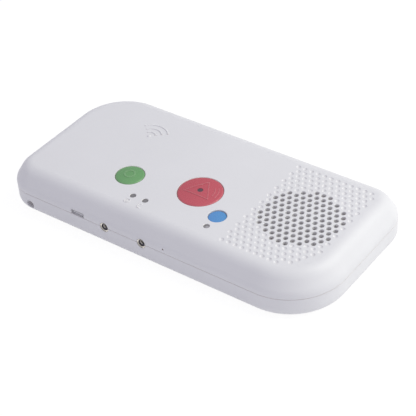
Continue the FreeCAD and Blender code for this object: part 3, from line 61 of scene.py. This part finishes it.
class Shader:
    """A node tree with short calls for the nodes that the materials share."""

    def __init__(self, name):
        self.material = bpy.data.materials.new(name)
        self.material.use_nodes = True
        self.tree = self.material.node_tree
        self.tree.nodes.clear()
        self.out = self.add("ShaderNodeOutputMaterial")
        self.surface = self.add("ShaderNodeBsdfPrincipled")
        self.link(self.surface.outputs[0], self.out.inputs["Surface"])
        self.place = self.add("ShaderNodeTexCoord").outputs["Object"]

    def add(self, kind, **settings):
        node = self.tree.nodes.new(kind)
        for key, value in settings.items():
            setattr(node, key, value)
        return node

    def link(self, source, target):
        self.tree.links.new(source, target)

    def put(self, value, socket):
        """Link an output to a socket, or set it to a plain value."""
        if isinstance(value, bpy.types.NodeSocket):
            self.link(value, socket)
        else:
            socket.default_value = value

    def calc(self, operation, first, second=0.0):
        node = self.add("ShaderNodeMath", operation=operation)
        for value, socket in zip((first, second), node.inputs):
            self.put(value, socket)
        return node.outputs[0]

    def noise(self, size, detail=3.0, rough=0.5, place=None):
        """Noise whose features are about this large, in metres."""
        node = self.add("ShaderNodeTexNoise")
        self.link(place or self.place, node.inputs["Vector"])
        node.inputs["Scale"].default_value = 1 / size
        node.inputs["Detail"].default_value = detail
        node.inputs["Roughness"].default_value = rough
        return node.outputs["Fac"]

    def cells(self, size, feature="F1"):
        """Distances in a pattern of cells about this large in metres, as a share of their size."""
        node = self.add("ShaderNodeTexVoronoi", feature=feature)
        self.link(self.place, node.inputs["Vector"])
        node.inputs["Scale"].default_value = 1 / size
        return node.outputs["Distance"]

    def ramp(self, value, low, high, start=0.0, end=1.0):
        """Map a value's range onto another one, held at both ends."""
        node = self.add("ShaderNodeMapRange")
        self.put(value, node.inputs["Value"])
        for name, number in (("From Min", low), ("From Max", high), ("To Min", start), ("To Max", end)):
            node.inputs[name].default_value = number
        return node.outputs["Result"]

    def stretch(self, noise, start=0.0, end=1.0):
        """Map the range that most of a noise lies in onto another one."""
        return self.ramp(noise, 0.3, 0.7, start, end)

    def mix(self, factor, first, second):
        """Mix two colours, each an output or three channels."""
        node = self.add("ShaderNodeMix", data_type="RGBA")
        colour_inputs = [socket for socket in node.inputs if socket.type == "RGBA"]
        self.put(factor, node.inputs["Factor"])
        for value, socket in zip((first, second), colour_inputs):
            self.put(value if isinstance(value, bpy.types.NodeSocket) else (*value, 1.0), socket)
        return next(socket for socket in node.outputs if socket.type == "RGBA")

    def axis(self, name):
        """One coordinate of the shaded place, in metres."""
        node = self.add("ShaderNodeSeparateXYZ")
        self.link(self.place, node.inputs[0])
        return node.outputs[name]

    def distance(self, middle):
        """The distance from a place; an axis given as None is left out."""
        total = None
        for name, value in zip("XYZ", middle):
            if value is None:
                continue
            offset = self.calc("SUBTRACT", self.axis(name), value)
            square = self.calc("MULTIPLY", offset, offset)
            total = self.calc("ADD", total, square) if total else square
        return self.calc("SQRT", total)

    def along(self, heading, first, second):
        """The way along a heading in degrees, in the plane of two axes given with their middles."""
        turn = math.radians(heading)
        shares = []
        for (name, middle), share in ((first, math.cos(turn)), (second, math.sin(turn))):
            shares.append(self.calc("MULTIPLY", self.calc("SUBTRACT", self.axis(name), middle), share))
        return self.calc("ADD", *shares)

    def edges(self, radius):
        """Close to 1 on edges and corners, 0 on open faces, with the rounded normal."""
        bevel = self.add("ShaderNodeBevel", samples=4)
        bevel.inputs["Radius"].default_value = radius
        shape = self.add("ShaderNodeNewGeometry")
        dot = self.add("ShaderNodeVectorMath", operation="DOT_PRODUCT")
        self.link(bevel.outputs[0], dot.inputs[0])
        self.link(shape.outputs["Normal"], dot.inputs[1])
        return self.ramp(dot.outputs["Value"], 0.995, 0.8), bevel.outputs[0]

    def relief(self, layers, normal=None):
        """Stack bumps, each a (height, depth in metres) pair, onto the normal."""
        for height, depth in layers:
            bump = self.add("ShaderNodeBump")
            bump.inputs["Strength"].default_value = 1.0
            bump.inputs["Distance"].default_value = depth
            self.link(height, bump.inputs["Height"])
            if normal:
                self.link(normal, bump.inputs["Normal"])
            normal = bump.outputs[0]
        self.link(normal, self.surface.inputs["Normal"])

    def finish(self, colour, rough, metallic=0.0, ior=1.5, specular=0.5, coat=0.0, coat_rough=0.1,
               transmission=0.0, sheen=0.0):
        """Set the surface and give back its material."""
        values = {"Base Color": colour, "Roughness": rough, "Metallic": metallic, "IOR": ior,
                  "Specular IOR Level": specular, "Coat Weight": coat, "Coat Roughness": coat_rough,
                  "Transmission Weight": transmission, "Sheen Weight": sheen}
        for name, value in values.items():
            self.put(value, self.surface.inputs[name])
        return self.material


def shade(colour, factor):
    return tuple(channel * factor for channel in colour)


# Materials

def moulded(name, colour, rough, grain, depth, spread=0.03, worn_and_sheen=None, edge=0.2 * MM, specular=0.5,
            painted_reflection=None, crown=None):
    """Moulded plastic: spark-eroded grain, slow tone drift, faint scuffs and softened edges.

    Its edges are rubbed towards the second, paler colour, which is wear. The same colour is painted
    reflection towards one side and painted highlight on raised marks and where the rim falls away from its
    crown; see the two functions that follow.
    """
    sh = Shader(name)
    drift = sh.stretch(sh.noise(26 * MM, 2.0))
    tone = sh.mix(drift, shade(colour, 1 - spread), shade(colour, 1 + spread))
    rubbed, normal = sh.edges(edge)
    if worn_and_sheen:
        patches = sh.ramp(sh.noise(1.6 * MM, 4.0), 0.35, 0.7, 0.25, 1.0)
        tone = sh.mix(sh.calc("MULTIPLY", sh.calc("MULTIPLY", rubbed, patches), 0.6), tone, worn_and_sheen)
    # Painted reflection: the cap paler towards one side.
    if painted_reflection:
        tone = sh.mix(painted_reflection_side(sh, *painted_reflection), tone, worn_and_sheen)
    # Painted highlight on raised marks and on the rim where it falls away.
    if crown:
        tone = sh.mix(painted_crown_highlight(sh, *crown), tone, worn_and_sheen)
    fine = sh.noise(grain, 2.0, 0.6)
    scuffs = sh.ramp(sh.noise(5 * MM, 6.0, 0.65), 0.55, 0.75, 0.0, 0.06)
    gloss = sh.calc("ADD", sh.stretch(fine, rough - 0.03, rough + 0.05), scuffs)
    sh.relief([(fine, depth)], normal)
    return sh.finish(tone, gloss, specular=specular)


def painted_reflection_side(sh, node, heading, share):
    """Painted reflection: 0 on one side of a node in plan, rising to the share on the side of the heading,
    in degrees.
    """
    low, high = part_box(node)
    middle, reach = (low + high) / 2, (high.x - low.x) * 0.42
    along = sh.along(heading, ("X", middle.x), ("Y", middle.y))
    return sh.ramp(along, -reach, reach, 0.0, share)


def painted_crown_highlight(sh, node, radius):
    """Painted highlight: 0 on the crown of a cap of this radius, more on raised marks and where the rim
    falls away.

    The crown is part of a ball.
    """
    rise, top = 0.85 * MM, 24.75 * MM
    ball = (radius * radius + rise * rise) / (2 * rise)
    middle = middle_of(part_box(node))
    distance = sh.distance((middle.x, middle.y, top - ball))
    raised = sh.ramp(distance, ball + 0.02 * MM, ball + 0.07 * MM, 0.0, 0.31)
    rim = sh.ramp(distance, ball - 0.03 * MM, ball - 0.15 * MM, 0.0, 0.38)
    return sh.calc("ADD", raised, rim)


def cap_plastic(name, colour, worn_and_sheen, edge, painted_reflection, crown=None):
    """Semi-gloss plastic of a push cap, with a very fine grain."""
    return moulded(name, colour, rough=0.26, grain=0.4 * MM, depth=0.001 * MM, worn_and_sheen=worn_and_sheen, edge=edge,
                   specular=0.35, painted_reflection=painted_reflection, crown=crown)


def case_plastic():
    """Satin white moulded plastic with a fine grain, painted shade in its corners and in its front left
    recess, and a few tiny specks.
    """
    sh = Shader("case_plastic")
    white = (0.776, 0.782, 0.803)
    drift = sh.stretch(sh.noise(34 * MM, 2.0))
    tone = sh.mix(drift, shade(white, 0.985), shade(white, 1.012))
    # Painted shade: warm darkening in corners and recesses.
    tone = sh.mix(painted_corner_shade(sh), tone, (0.77, 0.68, 0.63))
    # Painted shade: the front left recess darkened.
    tone = sh.mix(sh.calc("MULTIPLY", painted_recess_shade(sh), 0.62), tone, (0.36, 0.34, 0.34))
    specks = sh.ramp(sh.cells(17 * MM), 0.010, 0.006)
    tone = sh.mix(sh.calc("MULTIPLY", specks, 0.35), tone, (0.30, 0.29, 0.28))
    fine = sh.noise(0.28 * MM, 2.0, 0.6)
    pebble = sh.cells(0.55 * MM, "SMOOTH_F1")
    scuffs = sh.ramp(sh.noise(7 * MM, 6.0, 0.65), 0.56, 0.74, 0.0, 0.05)
    gloss = sh.calc("ADD", sh.stretch(fine, 0.42, 0.50), scuffs)
    rubbed, normal = sh.edges(0.15 * MM)
    gloss = sh.calc("SUBTRACT", gloss, sh.calc("MULTIPLY", rubbed, 0.08))
    sh.relief([(fine, 0.006 * MM), (pebble, 0.010 * MM)], normal)
    return sh.finish(tone, gloss, specular=0.45)


def painted_corner_shade(sh):
    """Painted shade: patchy, warm and darker where near faces close the light off, 0 on open faces."""
    openness = sh.add("ShaderNodeAmbientOcclusion", samples=6)
    openness.inputs["Distance"].default_value = 2.0 * MM
    corner = sh.ramp(openness.outputs["AO"], 0.75, 0.30, 0.0, 0.9)
    patches = sh.ramp(sh.noise(0.9 * MM, 3.0), 0.3, 0.65, 0.8, 1.0)
    return sh.calc("MULTIPLY", corner, patches)


def painted_recess_shade(sh):
    """Painted shade: 1 in the round recess of the front left corner, 0 elsewhere."""
    x, z, radius = -72.4 * MM, 6.35 * MM, 2.1 * MM
    within = sh.ramp(sh.distance((x, None, z)), radius, radius - 0.1 * MM)
    in_front = sh.ramp(sh.axis("Y"), 0.0, -1 * MM)
    return sh.calc("MULTIPLY", within, in_front)


def rubber(name, colour, rough):
    """Soft rubber: pebbled skin with a dusty bloom."""
    sh = Shader(name)
    bloom = sh.ramp(sh.noise(3.5 * MM, 5.0, 0.6), 0.4, 0.7)
    tone = sh.mix(sh.calc("MULTIPLY", bloom, 0.35), colour, (0.22, 0.215, 0.21))
    skin = sh.cells(0.32 * MM, "SMOOTH_F1")
    _, normal = sh.edges(0.25 * MM)
    sh.relief([(skin, 0.02 * MM)], normal)
    return sh.finish(tone, sh.ramp(bloom, 0.0, 1.0, rough, rough + 0.15), sheen=0.1, specular=0.35)


def metal(name, colour, rough, brushed, tarnish=0.12, painted_dark_reflection_places=()):
    """Plated metal: drawn or brushed streaks and a dull bloom.

    Round some places in the XZ plane it has painted dark reflection at both ends of a steep line.
    """
    sh = Shader(name)
    lengthwise = sh.add("ShaderNodeMapping")
    sh.link(sh.place, lengthwise.inputs["Vector"])
    lengthwise.inputs["Scale"].default_value = (0.06, 1.0, 1.0)
    streaks = sh.noise(0.12 * MM, 3.0, 0.6, lengthwise.outputs[0])
    cloud = sh.ramp(sh.noise(2.2 * MM, 5.0, 0.6), 0.45, 0.75)
    tone = sh.mix(sh.calc("MULTIPLY", cloud, tarnish), colour, shade(colour, 0.45))
    # Painted dark reflection round each given place.
    for place in painted_dark_reflection_places:
        along = sh.along(50, ("X", place.x), ("Z", place.z))
        ends = sh.ramp(sh.calc("ABSOLUTE", along), 0.7 * MM, 1.5 * MM)
        near = sh.ramp(sh.distance((place.x, None, place.z)), 3.0 * MM, 2.8 * MM, 0.0, 0.85)
        tone = sh.mix(sh.calc("MULTIPLY", ends, near), tone, shade(colour, 0.35))
    gloss = sh.calc("ADD", sh.stretch(streaks, rough, rough + 0.12), sh.calc("MULTIPLY", cloud, 0.08))
    _, normal = sh.edges(0.1 * MM)
    sh.relief([(streaks, brushed * 0.004 * MM)], normal)
    return sh.finish(tone, gloss, metallic=1.0)


def inlet_steel():
    """Satin nickel sheet, pale inside, with painted shade on its front edge."""
    sh = Shader("inlet_steel")
    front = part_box("usb_shell")[0].y
    # Painted shade: the sheet's front edge darkened.
    cut = sh.ramp(sh.axis("Y"), front + 0.25 * MM, front + 0.10 * MM)
    streaks = sh.noise(0.10 * MM, 3.0, 0.6)
    sheet = sh.mix(sh.stretch(streaks), (0.84, 0.84, 0.86), (0.90, 0.90, 0.92))
    tone = sh.mix(cut, sheet, (0.46, 0.46, 0.485))
    sh.relief([(streaks, 0.002 * MM)])
    return sh.finish(tone, sh.stretch(streaks, 0.38, 0.50), metallic=0.25)


def tongue_resin():
    """Grey resin of the inlet's tongue, with painted shade towards its upper side."""
    sh = Shader("tongue_resin")
    low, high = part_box("usb_tongue")
    height = high.z - low.z
    # Painted shade: the tongue darker towards its upper side.
    upper = sh.ramp(sh.axis("Z"), low.z + 0.35 * height, low.z + 0.65 * height)
    tone = sh.mix(upper, (0.80, 0.80, 0.83), (0.36, 0.36, 0.39))
    fine = sh.noise(0.3 * MM, 2.0, 0.6)
    sh.relief([(fine, 0.003 * MM)])
    return sh.finish(tone, sh.stretch(fine, 0.42, 0.50))


def clear(name, colour, rough, transmission, ior=1.49, painted_light_place=None):
    """Frosted clear plastic with a faint cloudiness, with painted light round one place in plan if that is
    given.
    """
    sh = Shader(name)
    cloud = sh.ramp(sh.noise(1.2 * MM, 4.0), 0.35, 0.7)
    tone = sh.mix(cloud, colour, shade(colour, 0.85))
    # Painted light: the lens paler round one place.
    if painted_light_place:
        near = sh.ramp(sh.distance((painted_light_place.x, painted_light_place.y, None)), 1.5 * MM, 0.4 * MM, 0.0, 0.8)
        tone = sh.mix(near, tone, (0.52, 0.51, 0.55))
    frost = sh.noise(0.12 * MM, 2.0)
    _, normal = sh.edges(0.15 * MM)
    sh.relief([(frost, 0.004 * MM)], normal)
    return sh.finish(tone, sh.stretch(frost, rough, rough + 0.1), transmission=transmission, ior=ior)


def laminate():
    """Green solder mask over copper tracks, with pale solder pads."""
    sh = Shader("board_laminate")
    from_track = sh.calc("SUBTRACT", sh.cells(2.4 * MM, "DISTANCE_TO_EDGE"), 0.12)
    track = sh.ramp(sh.calc("ABSOLUTE", from_track), 0.05, 0.025)
    tone = sh.mix(sh.calc("MULTIPLY", track, 0.7), (0.010, 0.115, 0.040), (0.025, 0.215, 0.075))
    pad = sh.ramp(sh.cells(3.1 * MM), 0.16, 0.13)
    tone = sh.mix(pad, tone, (0.60, 0.59, 0.57))
    weave = sh.noise(0.3 * MM, 2.0)
    _, normal = sh.edges(0.1 * MM)
    sh.relief([(weave, 0.003 * MM), (track, 0.035 * MM), (pad, 0.06 * MM)], normal)
    return sh.finish(tone, sh.stretch(weave, 0.28, 0.38), coat=0.3, coat_rough=0.15)


def foam(name, colour):
    """Open-cell foam."""
    sh = Shader(name)
    pores = sh.cells(0.45 * MM)
    tone = sh.mix(sh.ramp(pores, 0.1, 0.6), shade(colour, 0.4), shade(colour, 1.7))
    sh.relief([(pores, 0.15 * MM)])
    return sh.finish(tone, 0.95, specular=0.2)


def paper():
    """Black pressed paper with a fibrous felt and rings pressed into it."""
    sh = Shader("speaker_paper")
    fibre = sh.noise(0.22 * MM, 6.0, 0.75)
    middle = middle_of(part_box("speaker_cone"))
    ring_pitch = 1.3 * MM
    radius = sh.distance((middle.x, middle.y, None))
    rings = sh.calc("SINE", sh.calc("MULTIPLY", radius, 2 * math.pi / ring_pitch))
    tone = sh.mix(sh.stretch(fibre), (0.016, 0.016, 0.017), (0.045, 0.044, 0.045))
    sh.relief([(rings, 0.02 * MM), (fibre, 0.03 * MM)])
    return sh.finish(tone, 0.85, sheen=0.25, specular=0.3)


def wire_jacket():
    """Insulated wires in pairs, the front one of a pair red and the back one black."""
    sh = Shader("wire_insulation")
    behind = sh.ramp(sh.axis("Y"), -0.1 * MM, 0.1 * MM)
    skin = sh.noise(0.35 * MM, 3.0)
    tone = sh.mix(behind, (0.33, 0.012, 0.010), (0.012, 0.012, 0.012))
    tone = sh.mix(sh.ramp(skin, 0.4, 0.8, 0.0, 0.2), tone, (0.12, 0.11, 0.11))
    sh.relief([(skin, 0.006 * MM)])
    return sh.finish(tone, sh.stretch(skin, 0.32, 0.45))


# The place of the painted light on the assist lens, a little off its middle.
assist_light = middle_of(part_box("assist_light_guide")) + Vector((0.7, -0.3, 0)) * MM
jack_rings = [middle_of(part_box(f"{side}_jack_ring")) for side in ("left", "right")]
materials = {
    "case_plastic": case_plastic(),
    "screw_steel": metal("screw_steel", (0.56, 0.56, 0.57), rough=0.28, brushed=1.0),
    "foot_rubber": rubber("foot_rubber", (0.075, 0.073, 0.072), rough=0.72),
    "black_rubber": rubber("black_rubber", (0.022, 0.022, 0.022), rough=0.60),
    "call_red": cap_plastic("call_red", (0.503, 0.055, 0.087), worn_and_sheen=(0.72, 0.25, 0.28), edge=0.25 * MM,
                            painted_reflection=("call_cap", -51, 0.24), crown=("call_cap", 10.85 * MM)),
    "cancel_green": cap_plastic("cancel_green", (0.097, 0.308, 0.096), worn_and_sheen=(0.30, 0.52, 0.28),
                                edge=0.25 * MM, painted_reflection=("cancel_cap", -51, 0.36),
                                crown=("cancel_cap", 7.05 * MM)),
    "assist_blue": cap_plastic("assist_blue", (0.088, 0.266, 0.600), worn_and_sheen=(0.12, 0.50, 0.85), edge=0.3 * MM,
                               painted_reflection=("assist_cap", 39, 0.25)),
    "smoked_acrylic": moulded("smoked_acrylic", (0.072, 0.028, 0.048), rough=0.22, grain=0.3 * MM,
                              depth=0.002 * MM, spread=0.05, edge=0.15 * MM),
    "jack_resin": moulded("jack_resin", (0.34, 0.33, 0.38), rough=0.40, grain=0.3 * MM, depth=0.004 * MM,
                          spread=0.06, edge=0.1 * MM),
    "inlet_steel": inlet_steel(),
    "tongue_resin": tongue_resin(),
    "black_plastic": moulded("black_plastic", (0.020, 0.020, 0.021), rough=0.42, grain=0.3 * MM,
                             depth=0.006 * MM, spread=0.12),
    "plunger_plastic": moulded("plunger_plastic", (0.55, 0.50, 0.41), rough=0.45, grain=0.3 * MM,
                               depth=0.004 * MM),
    "lamp_epoxy": clear("lamp_epoxy", (0.86, 0.80, 0.76), rough=0.25, transmission=0.45, ior=1.52),
    "lens_acrylic": clear("lens_acrylic", (0.24, 0.235, 0.25), rough=0.35, transmission=0.15,
                          painted_light_place=assist_light),
    "led_resin": clear("led_resin", (0.80, 0.78, 0.50), rough=0.30, transmission=0.15, ior=1.52),
    "board_laminate": laminate(),
    "plated_metal": metal("plated_metal", (0.84, 0.80, 0.75), rough=0.20, brushed=0.4, tarnish=0.06,
                          painted_dark_reflection_places=jack_rings),
    "black_foam": foam("black_foam", (0.030, 0.030, 0.031)),
    "speaker_steel": metal("speaker_steel", (0.42, 0.42, 0.43), rough=0.34, brushed=0.8),
    "speaker_paper": paper(),
    "connector_plastic": moulded("connector_plastic", (0.76, 0.73, 0.65), rough=0.45, grain=0.35 * MM,
                                 depth=0.004 * MM),
    "wire_insulation": wire_jacket(),
    "battery_film": metal("battery_film", (0.66, 0.67, 0.69), rough=0.30, brushed=0.6, tarnish=0.1),
    "can_aluminium": metal("can_aluminium", (0.72, 0.72, 0.74), rough=0.25, brushed=0.5),
}
slot_of = {part["node"]: part["material_slot"] for part in frame["record"]["subparts"]}
for name, thing in nodes.items():
    thing.data.materials.clear()
    thing.data.materials.append(materials[slot_of[name]])


# Detail pieces

def turned(form, profile, place, steps):
    """Faces of a turned form about the upright axis through a place, from (radius, height) points."""
    x, y = place
    rows = []
    for radius, height in profile:
        if radius == 0:
            rows.append([form.verts.new((x, y, height))] * steps)
            continue
        row = []
        for step in range(steps):
            angle = 2 * math.pi * step / steps
            row.append(form.verts.new((x + radius * math.cos(angle), y + radius * math.sin(angle), height)))
        rows.append(row)
    for upper, lower in zip(rows, rows[1:]):
        for step in range(steps):
            following = (step + 1) % steps
            corners = [upper[step], upper[following], lower[following], lower[step]]
            form.faces.new(list(dict.fromkeys(corners)))


def mesh_of(name, form):
    """A mesh from a form, with its normals outward; the form is used up."""
    bmesh.ops.recalc_face_normals(form, faces=form.faces)
    mesh = bpy.data.meshes.new(name)
    form.to_mesh(mesh)
    form.free()
    return mesh


def piece_of(name, form, material, body):
    """A finished object from a form, with its material."""
    mesh = mesh_of(name, form)
    mesh.materials.append(materials[material])
    mesh.shade_smooth()
    mesh.set_sharp_from_angle(angle=math.radians(30))
    piece = bpy.data.objects.new(name, mesh)
    scene.collection.objects.link(piece)
    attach(piece, body)
    return piece


def carve(piece, cutter):
    """Cut one object's form out of another's for good."""
    scene.collection.objects.link(cutter)
    boolean = piece.modifiers.new("carve", "BOOLEAN")
    boolean.operation = "DIFFERENCE"
    boolean.solver = "EXACT"
    boolean.object = cutter
    bpy.context.view_layer.update()
    carved = bpy.data.meshes.new_from_object(piece.evaluated_get(bpy.context.evaluated_depsgraph_get()))
    piece.modifiers.clear()
    piece.data = carved
    bpy.data.objects.remove(cutter)


def joined_groups(node):
    """The low and high corners of each group of joined vertices of a node, in the order of its vertices.

    A CAD node's mesh isn't joined from one of its faces to the next, so each face is a group.
    """
    form = bmesh.new()
    form.from_mesh(nodes[node].data)
    seen = set()
    found = []
    for start in form.verts:
        if start in seen:
            continue
        seen.add(start)
        group, front = [], [start]
        while front:
            vert = front.pop()
            group.append(vert)
            near = [edge.other_vert(vert) for edge in vert.link_edges]
            front += [other for other in near if other not in seen]
            seen.update(near)
        xs, ys, zs = zip(*(vert.co for vert in group))
        found.append((Vector((min(xs), min(ys), min(zs))), Vector((max(xs), max(ys), max(zs)))))
    form.free()
    return found


def screw_profile(head, low, high):
    """The outline of a pan-head screw with its head down, as (radius, height) points."""
    head_height, shank, pitch = 1.8 * MM, 1.2 * MM, 0.9 * MM
    core = 0.8 * shank
    seat = low + head_height
    profile = [(0, low), (head - 0.9 * MM, low), (head - 0.3 * MM, low + 0.22 * MM), (head, low + 0.75 * MM),
               (head, seat), (shank, seat)]
    for turn in range(int((high - seat - 1.2 * MM) / pitch)):
        z = seat + 0.5 * MM + turn * pitch
        profile += [(core, z), (shank, z + 0.35 * MM), (shank, z + 0.5 * MM), (core, z + 0.85 * MM)]
    return profile + [(core, high - 0.5 * MM), (0, high)]


def cross_cutter(form, x, y, face):
    """Two crossed wedges that cut a cross recess, narrower towards its bottom, up into a screw's face."""
    half_long, half_wide, depth, outside = 1.45 * MM, 0.32 * MM, 1.15 * MM, 0.20 * MM
    for turn in (0.35, 0.35 + math.pi / 2):
        for vert in bmesh.ops.create_cube(form, size=1.0)["verts"]:
            outward = 0.5 - vert.co.z
            width = 0.55 + 0.45 * outward
            across = Vector((vert.co.x * 2 * half_long * width, vert.co.y * 2 * half_wide * width, 0))
            across.rotate(Matrix.Rotation(turn, 3, "Z"))
            vert.co = Vector((x, y, face + depth - outward * (depth + outside))) + across


def case_screws():
    """Pan-head screws with a cross recess and a thread, for the deep holes of the underside.

    Known fault: each of a screw's seven faces gets a screw form, and these overlap. The cut then leaves
    only scraps with open edges in the holes, and the screws are lost.
    """
    form = bmesh.new()
    cross = bmesh.new()
    for low, high in joined_groups("case_screws"):
        x, y = (low.x + high.x) / 2, (low.y + high.y) / 2
        turned(form, screw_profile((high.x - low.x) / 2, low.z, high.z), (x, y), steps=32)
        cross_cutter(cross, x, y, low.z)
    screws = piece_of("case_screw_set", form, "screw_steel", "terminal")
    carve(screws, bpy.data.objects.new("cross", mesh_of("cross", cross)))
    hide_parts("case_screws")


def thin_sheet(form, rows):
    """Faces of a thin sheet, from rows of (inner, outer) pairs of vertices."""
    last = len(rows[0]) - 1
    for first, second in zip(rows, rows[1:]):
        for place in range(last):
            for layer in (0, 1):
                form.faces.new((first[place][layer], first[place + 1][layer], second[place + 1][layer],
                                second[place][layer]))
        for place in (0, last):
            form.faces.new((first[place][0], first[place][1], second[place][1], second[place][0]))
    for row in (rows[0], rows[-1]):
        for place in range(last):
            form.faces.new((row[place][0], row[place + 1][0], row[place + 1][1], row[place][1]))


def jack_springs():
    """A bowed contact spring low on the left side of each socket's bore."""
    form = bmesh.new()
    bore, back, bow = 1.80 * MM, 1.83 * MM, 0.42 * MM
    start, length = 1.35 * MM, 2.1 * MM
    heading, width = 1.2 * math.pi, 1.1
    steps, turns = 12, 8
    for side in ("left", "right"):
        low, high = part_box(f"{side}_jack_ring")
        x, z = (low.x + high.x) / 2, (low.z + high.z) / 2
        rows = []
        for step in range(steps + 1):
            along = step / steps
            y = low.y + start + length * along
            inner = bore - bow * math.sin(math.pi * along)
            row = []
            for turn in range(turns + 1):
                angle = heading + (turn / turns - 0.5) * width
                row.append([form.verts.new((x + radius * math.cos(angle), y, z + radius * math.sin(angle)))
                            for radius in (inner, back)])
            rows.append(row)
        thin_sheet(form, rows)
    piece_of("jack_springs", form, "plated_metal", "terminal")


case_screws()
jack_springs()


# Camera, lights and floor

def turn_to(azimuth, elevation, roll):
    """The rotation of a camera that looks at the front from this azimuth and elevation, in degrees."""
    azimuth, elevation, roll = (math.radians(angle) for angle in (azimuth, elevation, roll))
    back = Vector((math.sin(azimuth) * math.cos(elevation), -math.cos(azimuth) * math.cos(elevation),
                   math.sin(elevation)))
    right = Vector((math.cos(azimuth), math.sin(azimuth), 0))
    up = back.cross(right)
    tilted = right * math.cos(roll) + up * math.sin(roll)
    upward = up * math.cos(roll) - right * math.sin(roll)
    return Matrix((tilted, upward, back)).transposed().to_4x4()


def make_camera():
    """The camera as fitted to the photograph."""
    camera = bpy.data.objects.new("camera", bpy.data.cameras.new("camera"))
    camera.data.sensor_width = 36
    camera.data.lens = 112.96
    camera.data.clip_start = 0.01
    place = (0.3083, -0.3787, 0.3931)
    camera.matrix_world = Matrix.Translation(place) @ turn_to(azimuth=38.85, elevation=38.45, roll=-4.46)
    scene.collection.objects.link(camera)
    scene.camera = camera


def seen_rays(tree):
    """1 for rays that come from the camera, a gloss or a clear piece, 0 for the light itself."""
    path = tree.nodes.new("ShaderNodeLightPath")
    seen = path.outputs["Is Camera Ray"]
    for other in ("Is Glossy Ray", "Is Transmission Ray"):
        either = tree.nodes.new("ShaderNodeMath")
        either.operation = "MAXIMUM"
        tree.links.new(seen, either.inputs[0])
        tree.links.new(path.outputs[other], either.inputs[1])
        seen = either.outputs[0]
    return seen


def white_floor():
    """A matt white floor that shows white, with a soft trace of the shadow left on it."""
    sh = Shader("floor")
    sh.tree.nodes.remove(sh.surface)
    matt = sh.add("ShaderNodeBsdfDiffuse")
    sh.link(sh.mix(sh.noise(0.4, 3.0), (0.92, 0.92, 0.925), (0.94, 0.94, 0.943)), matt.inputs["Color"])
    glow = sh.add("ShaderNodeEmission")
    glow.inputs["Strength"].default_value = 1.08
    shadow_share = 0.14
    shown = sh.add("ShaderNodeMixShader")
    shown.inputs[0].default_value = shadow_share
    sh.link(glow.outputs[0], shown.inputs[1])
    sh.link(matt.outputs[0], shown.inputs[2])
    both = sh.add("ShaderNodeMixShader")
    sh.link(seen_rays(sh.tree), both.inputs[0])
    sh.link(matt.outputs[0], both.inputs[1])
    sh.link(shown.outputs[0], both.inputs[2])
    sh.link(both.outputs[0], sh.out.inputs["Surface"])
    return sh.material


def make_floor():
    """A round floor, a disc with two rings round it."""
    form = bmesh.new()
    steps = 64
    rings = []
    for radius in (0.3, 1.0, 4.0):
        angles = [2 * math.pi * step / steps for step in range(steps)]
        rings.append([form.verts.new((radius * math.cos(angle), radius * math.sin(angle), 0))
                      for angle in angles])
    form.faces.new(rings[0])
    for inner, outer in zip(rings, rings[1:]):
        for step in range(steps):
            following = (step + 1) % steps
            form.faces.new((inner[step], outer[step], outer[following], inner[following]))
    mesh = bpy.data.meshes.new("floor")
    form.to_mesh(mesh)
    form.free()
    mesh.materials.append(white_floor())
    floor = bpy.data.objects.new("floor", mesh)
    scene.collection.objects.link(floor)


def make_world():
    """An even pale surround that lights softly and shows white."""
    world = bpy.data.worlds.new("studio")
    world.use_nodes = True
    tree = world.node_tree
    tree.nodes.clear()
    soft = tree.nodes.new("ShaderNodeBackground")
    soft.inputs["Color"].default_value = (0.905, 0.878, 1.0, 1.0)
    soft.inputs["Strength"].default_value = 0.583
    white = tree.nodes.new("ShaderNodeBackground")
    white.inputs["Color"].default_value = (1.0, 1.0, 1.0, 1.0)
    white.inputs["Strength"].default_value = 1.0
    both = tree.nodes.new("ShaderNodeMixShader")
    tree.links.new(seen_rays(tree), both.inputs[0])
    tree.links.new(soft.outputs[0], both.inputs[1])
    tree.links.new(white.outputs[0], both.inputs[2])
    out = tree.nodes.new("ShaderNodeOutputWorld")
    tree.links.new(both.outputs[0], out.inputs["Surface"])
    scene.world = world


def soft_lamp(name, direction, power):
    """A square soft box that faces the middle of the object from this direction."""
    distance, size = 0.9, 0.5
    lamp = bpy.data.lights.new(name, "AREA")
    lamp.shape = "SQUARE"
    lamp.size = size
    lamp.energy = power
    lamp.color = (0.985, 1.0, 0.885)
    thing = bpy.data.objects.new(name, lamp)
    place = Vector(direction).normalized() * distance
    thing.matrix_world = Matrix.Translation(place) @ place.to_track_quat("Z", "Y").to_matrix().to_4x4()
    scene.collection.objects.link(thing)


make_camera()
make_floor()
make_world()
soft_lamp("low_key", (0.718, 0.414, 0.559), power=2.1)
soft_lamp("high_key", (0.497, 0.287, 0.819), power=2.4)
scene.view_settings.view_transform = "Standard"
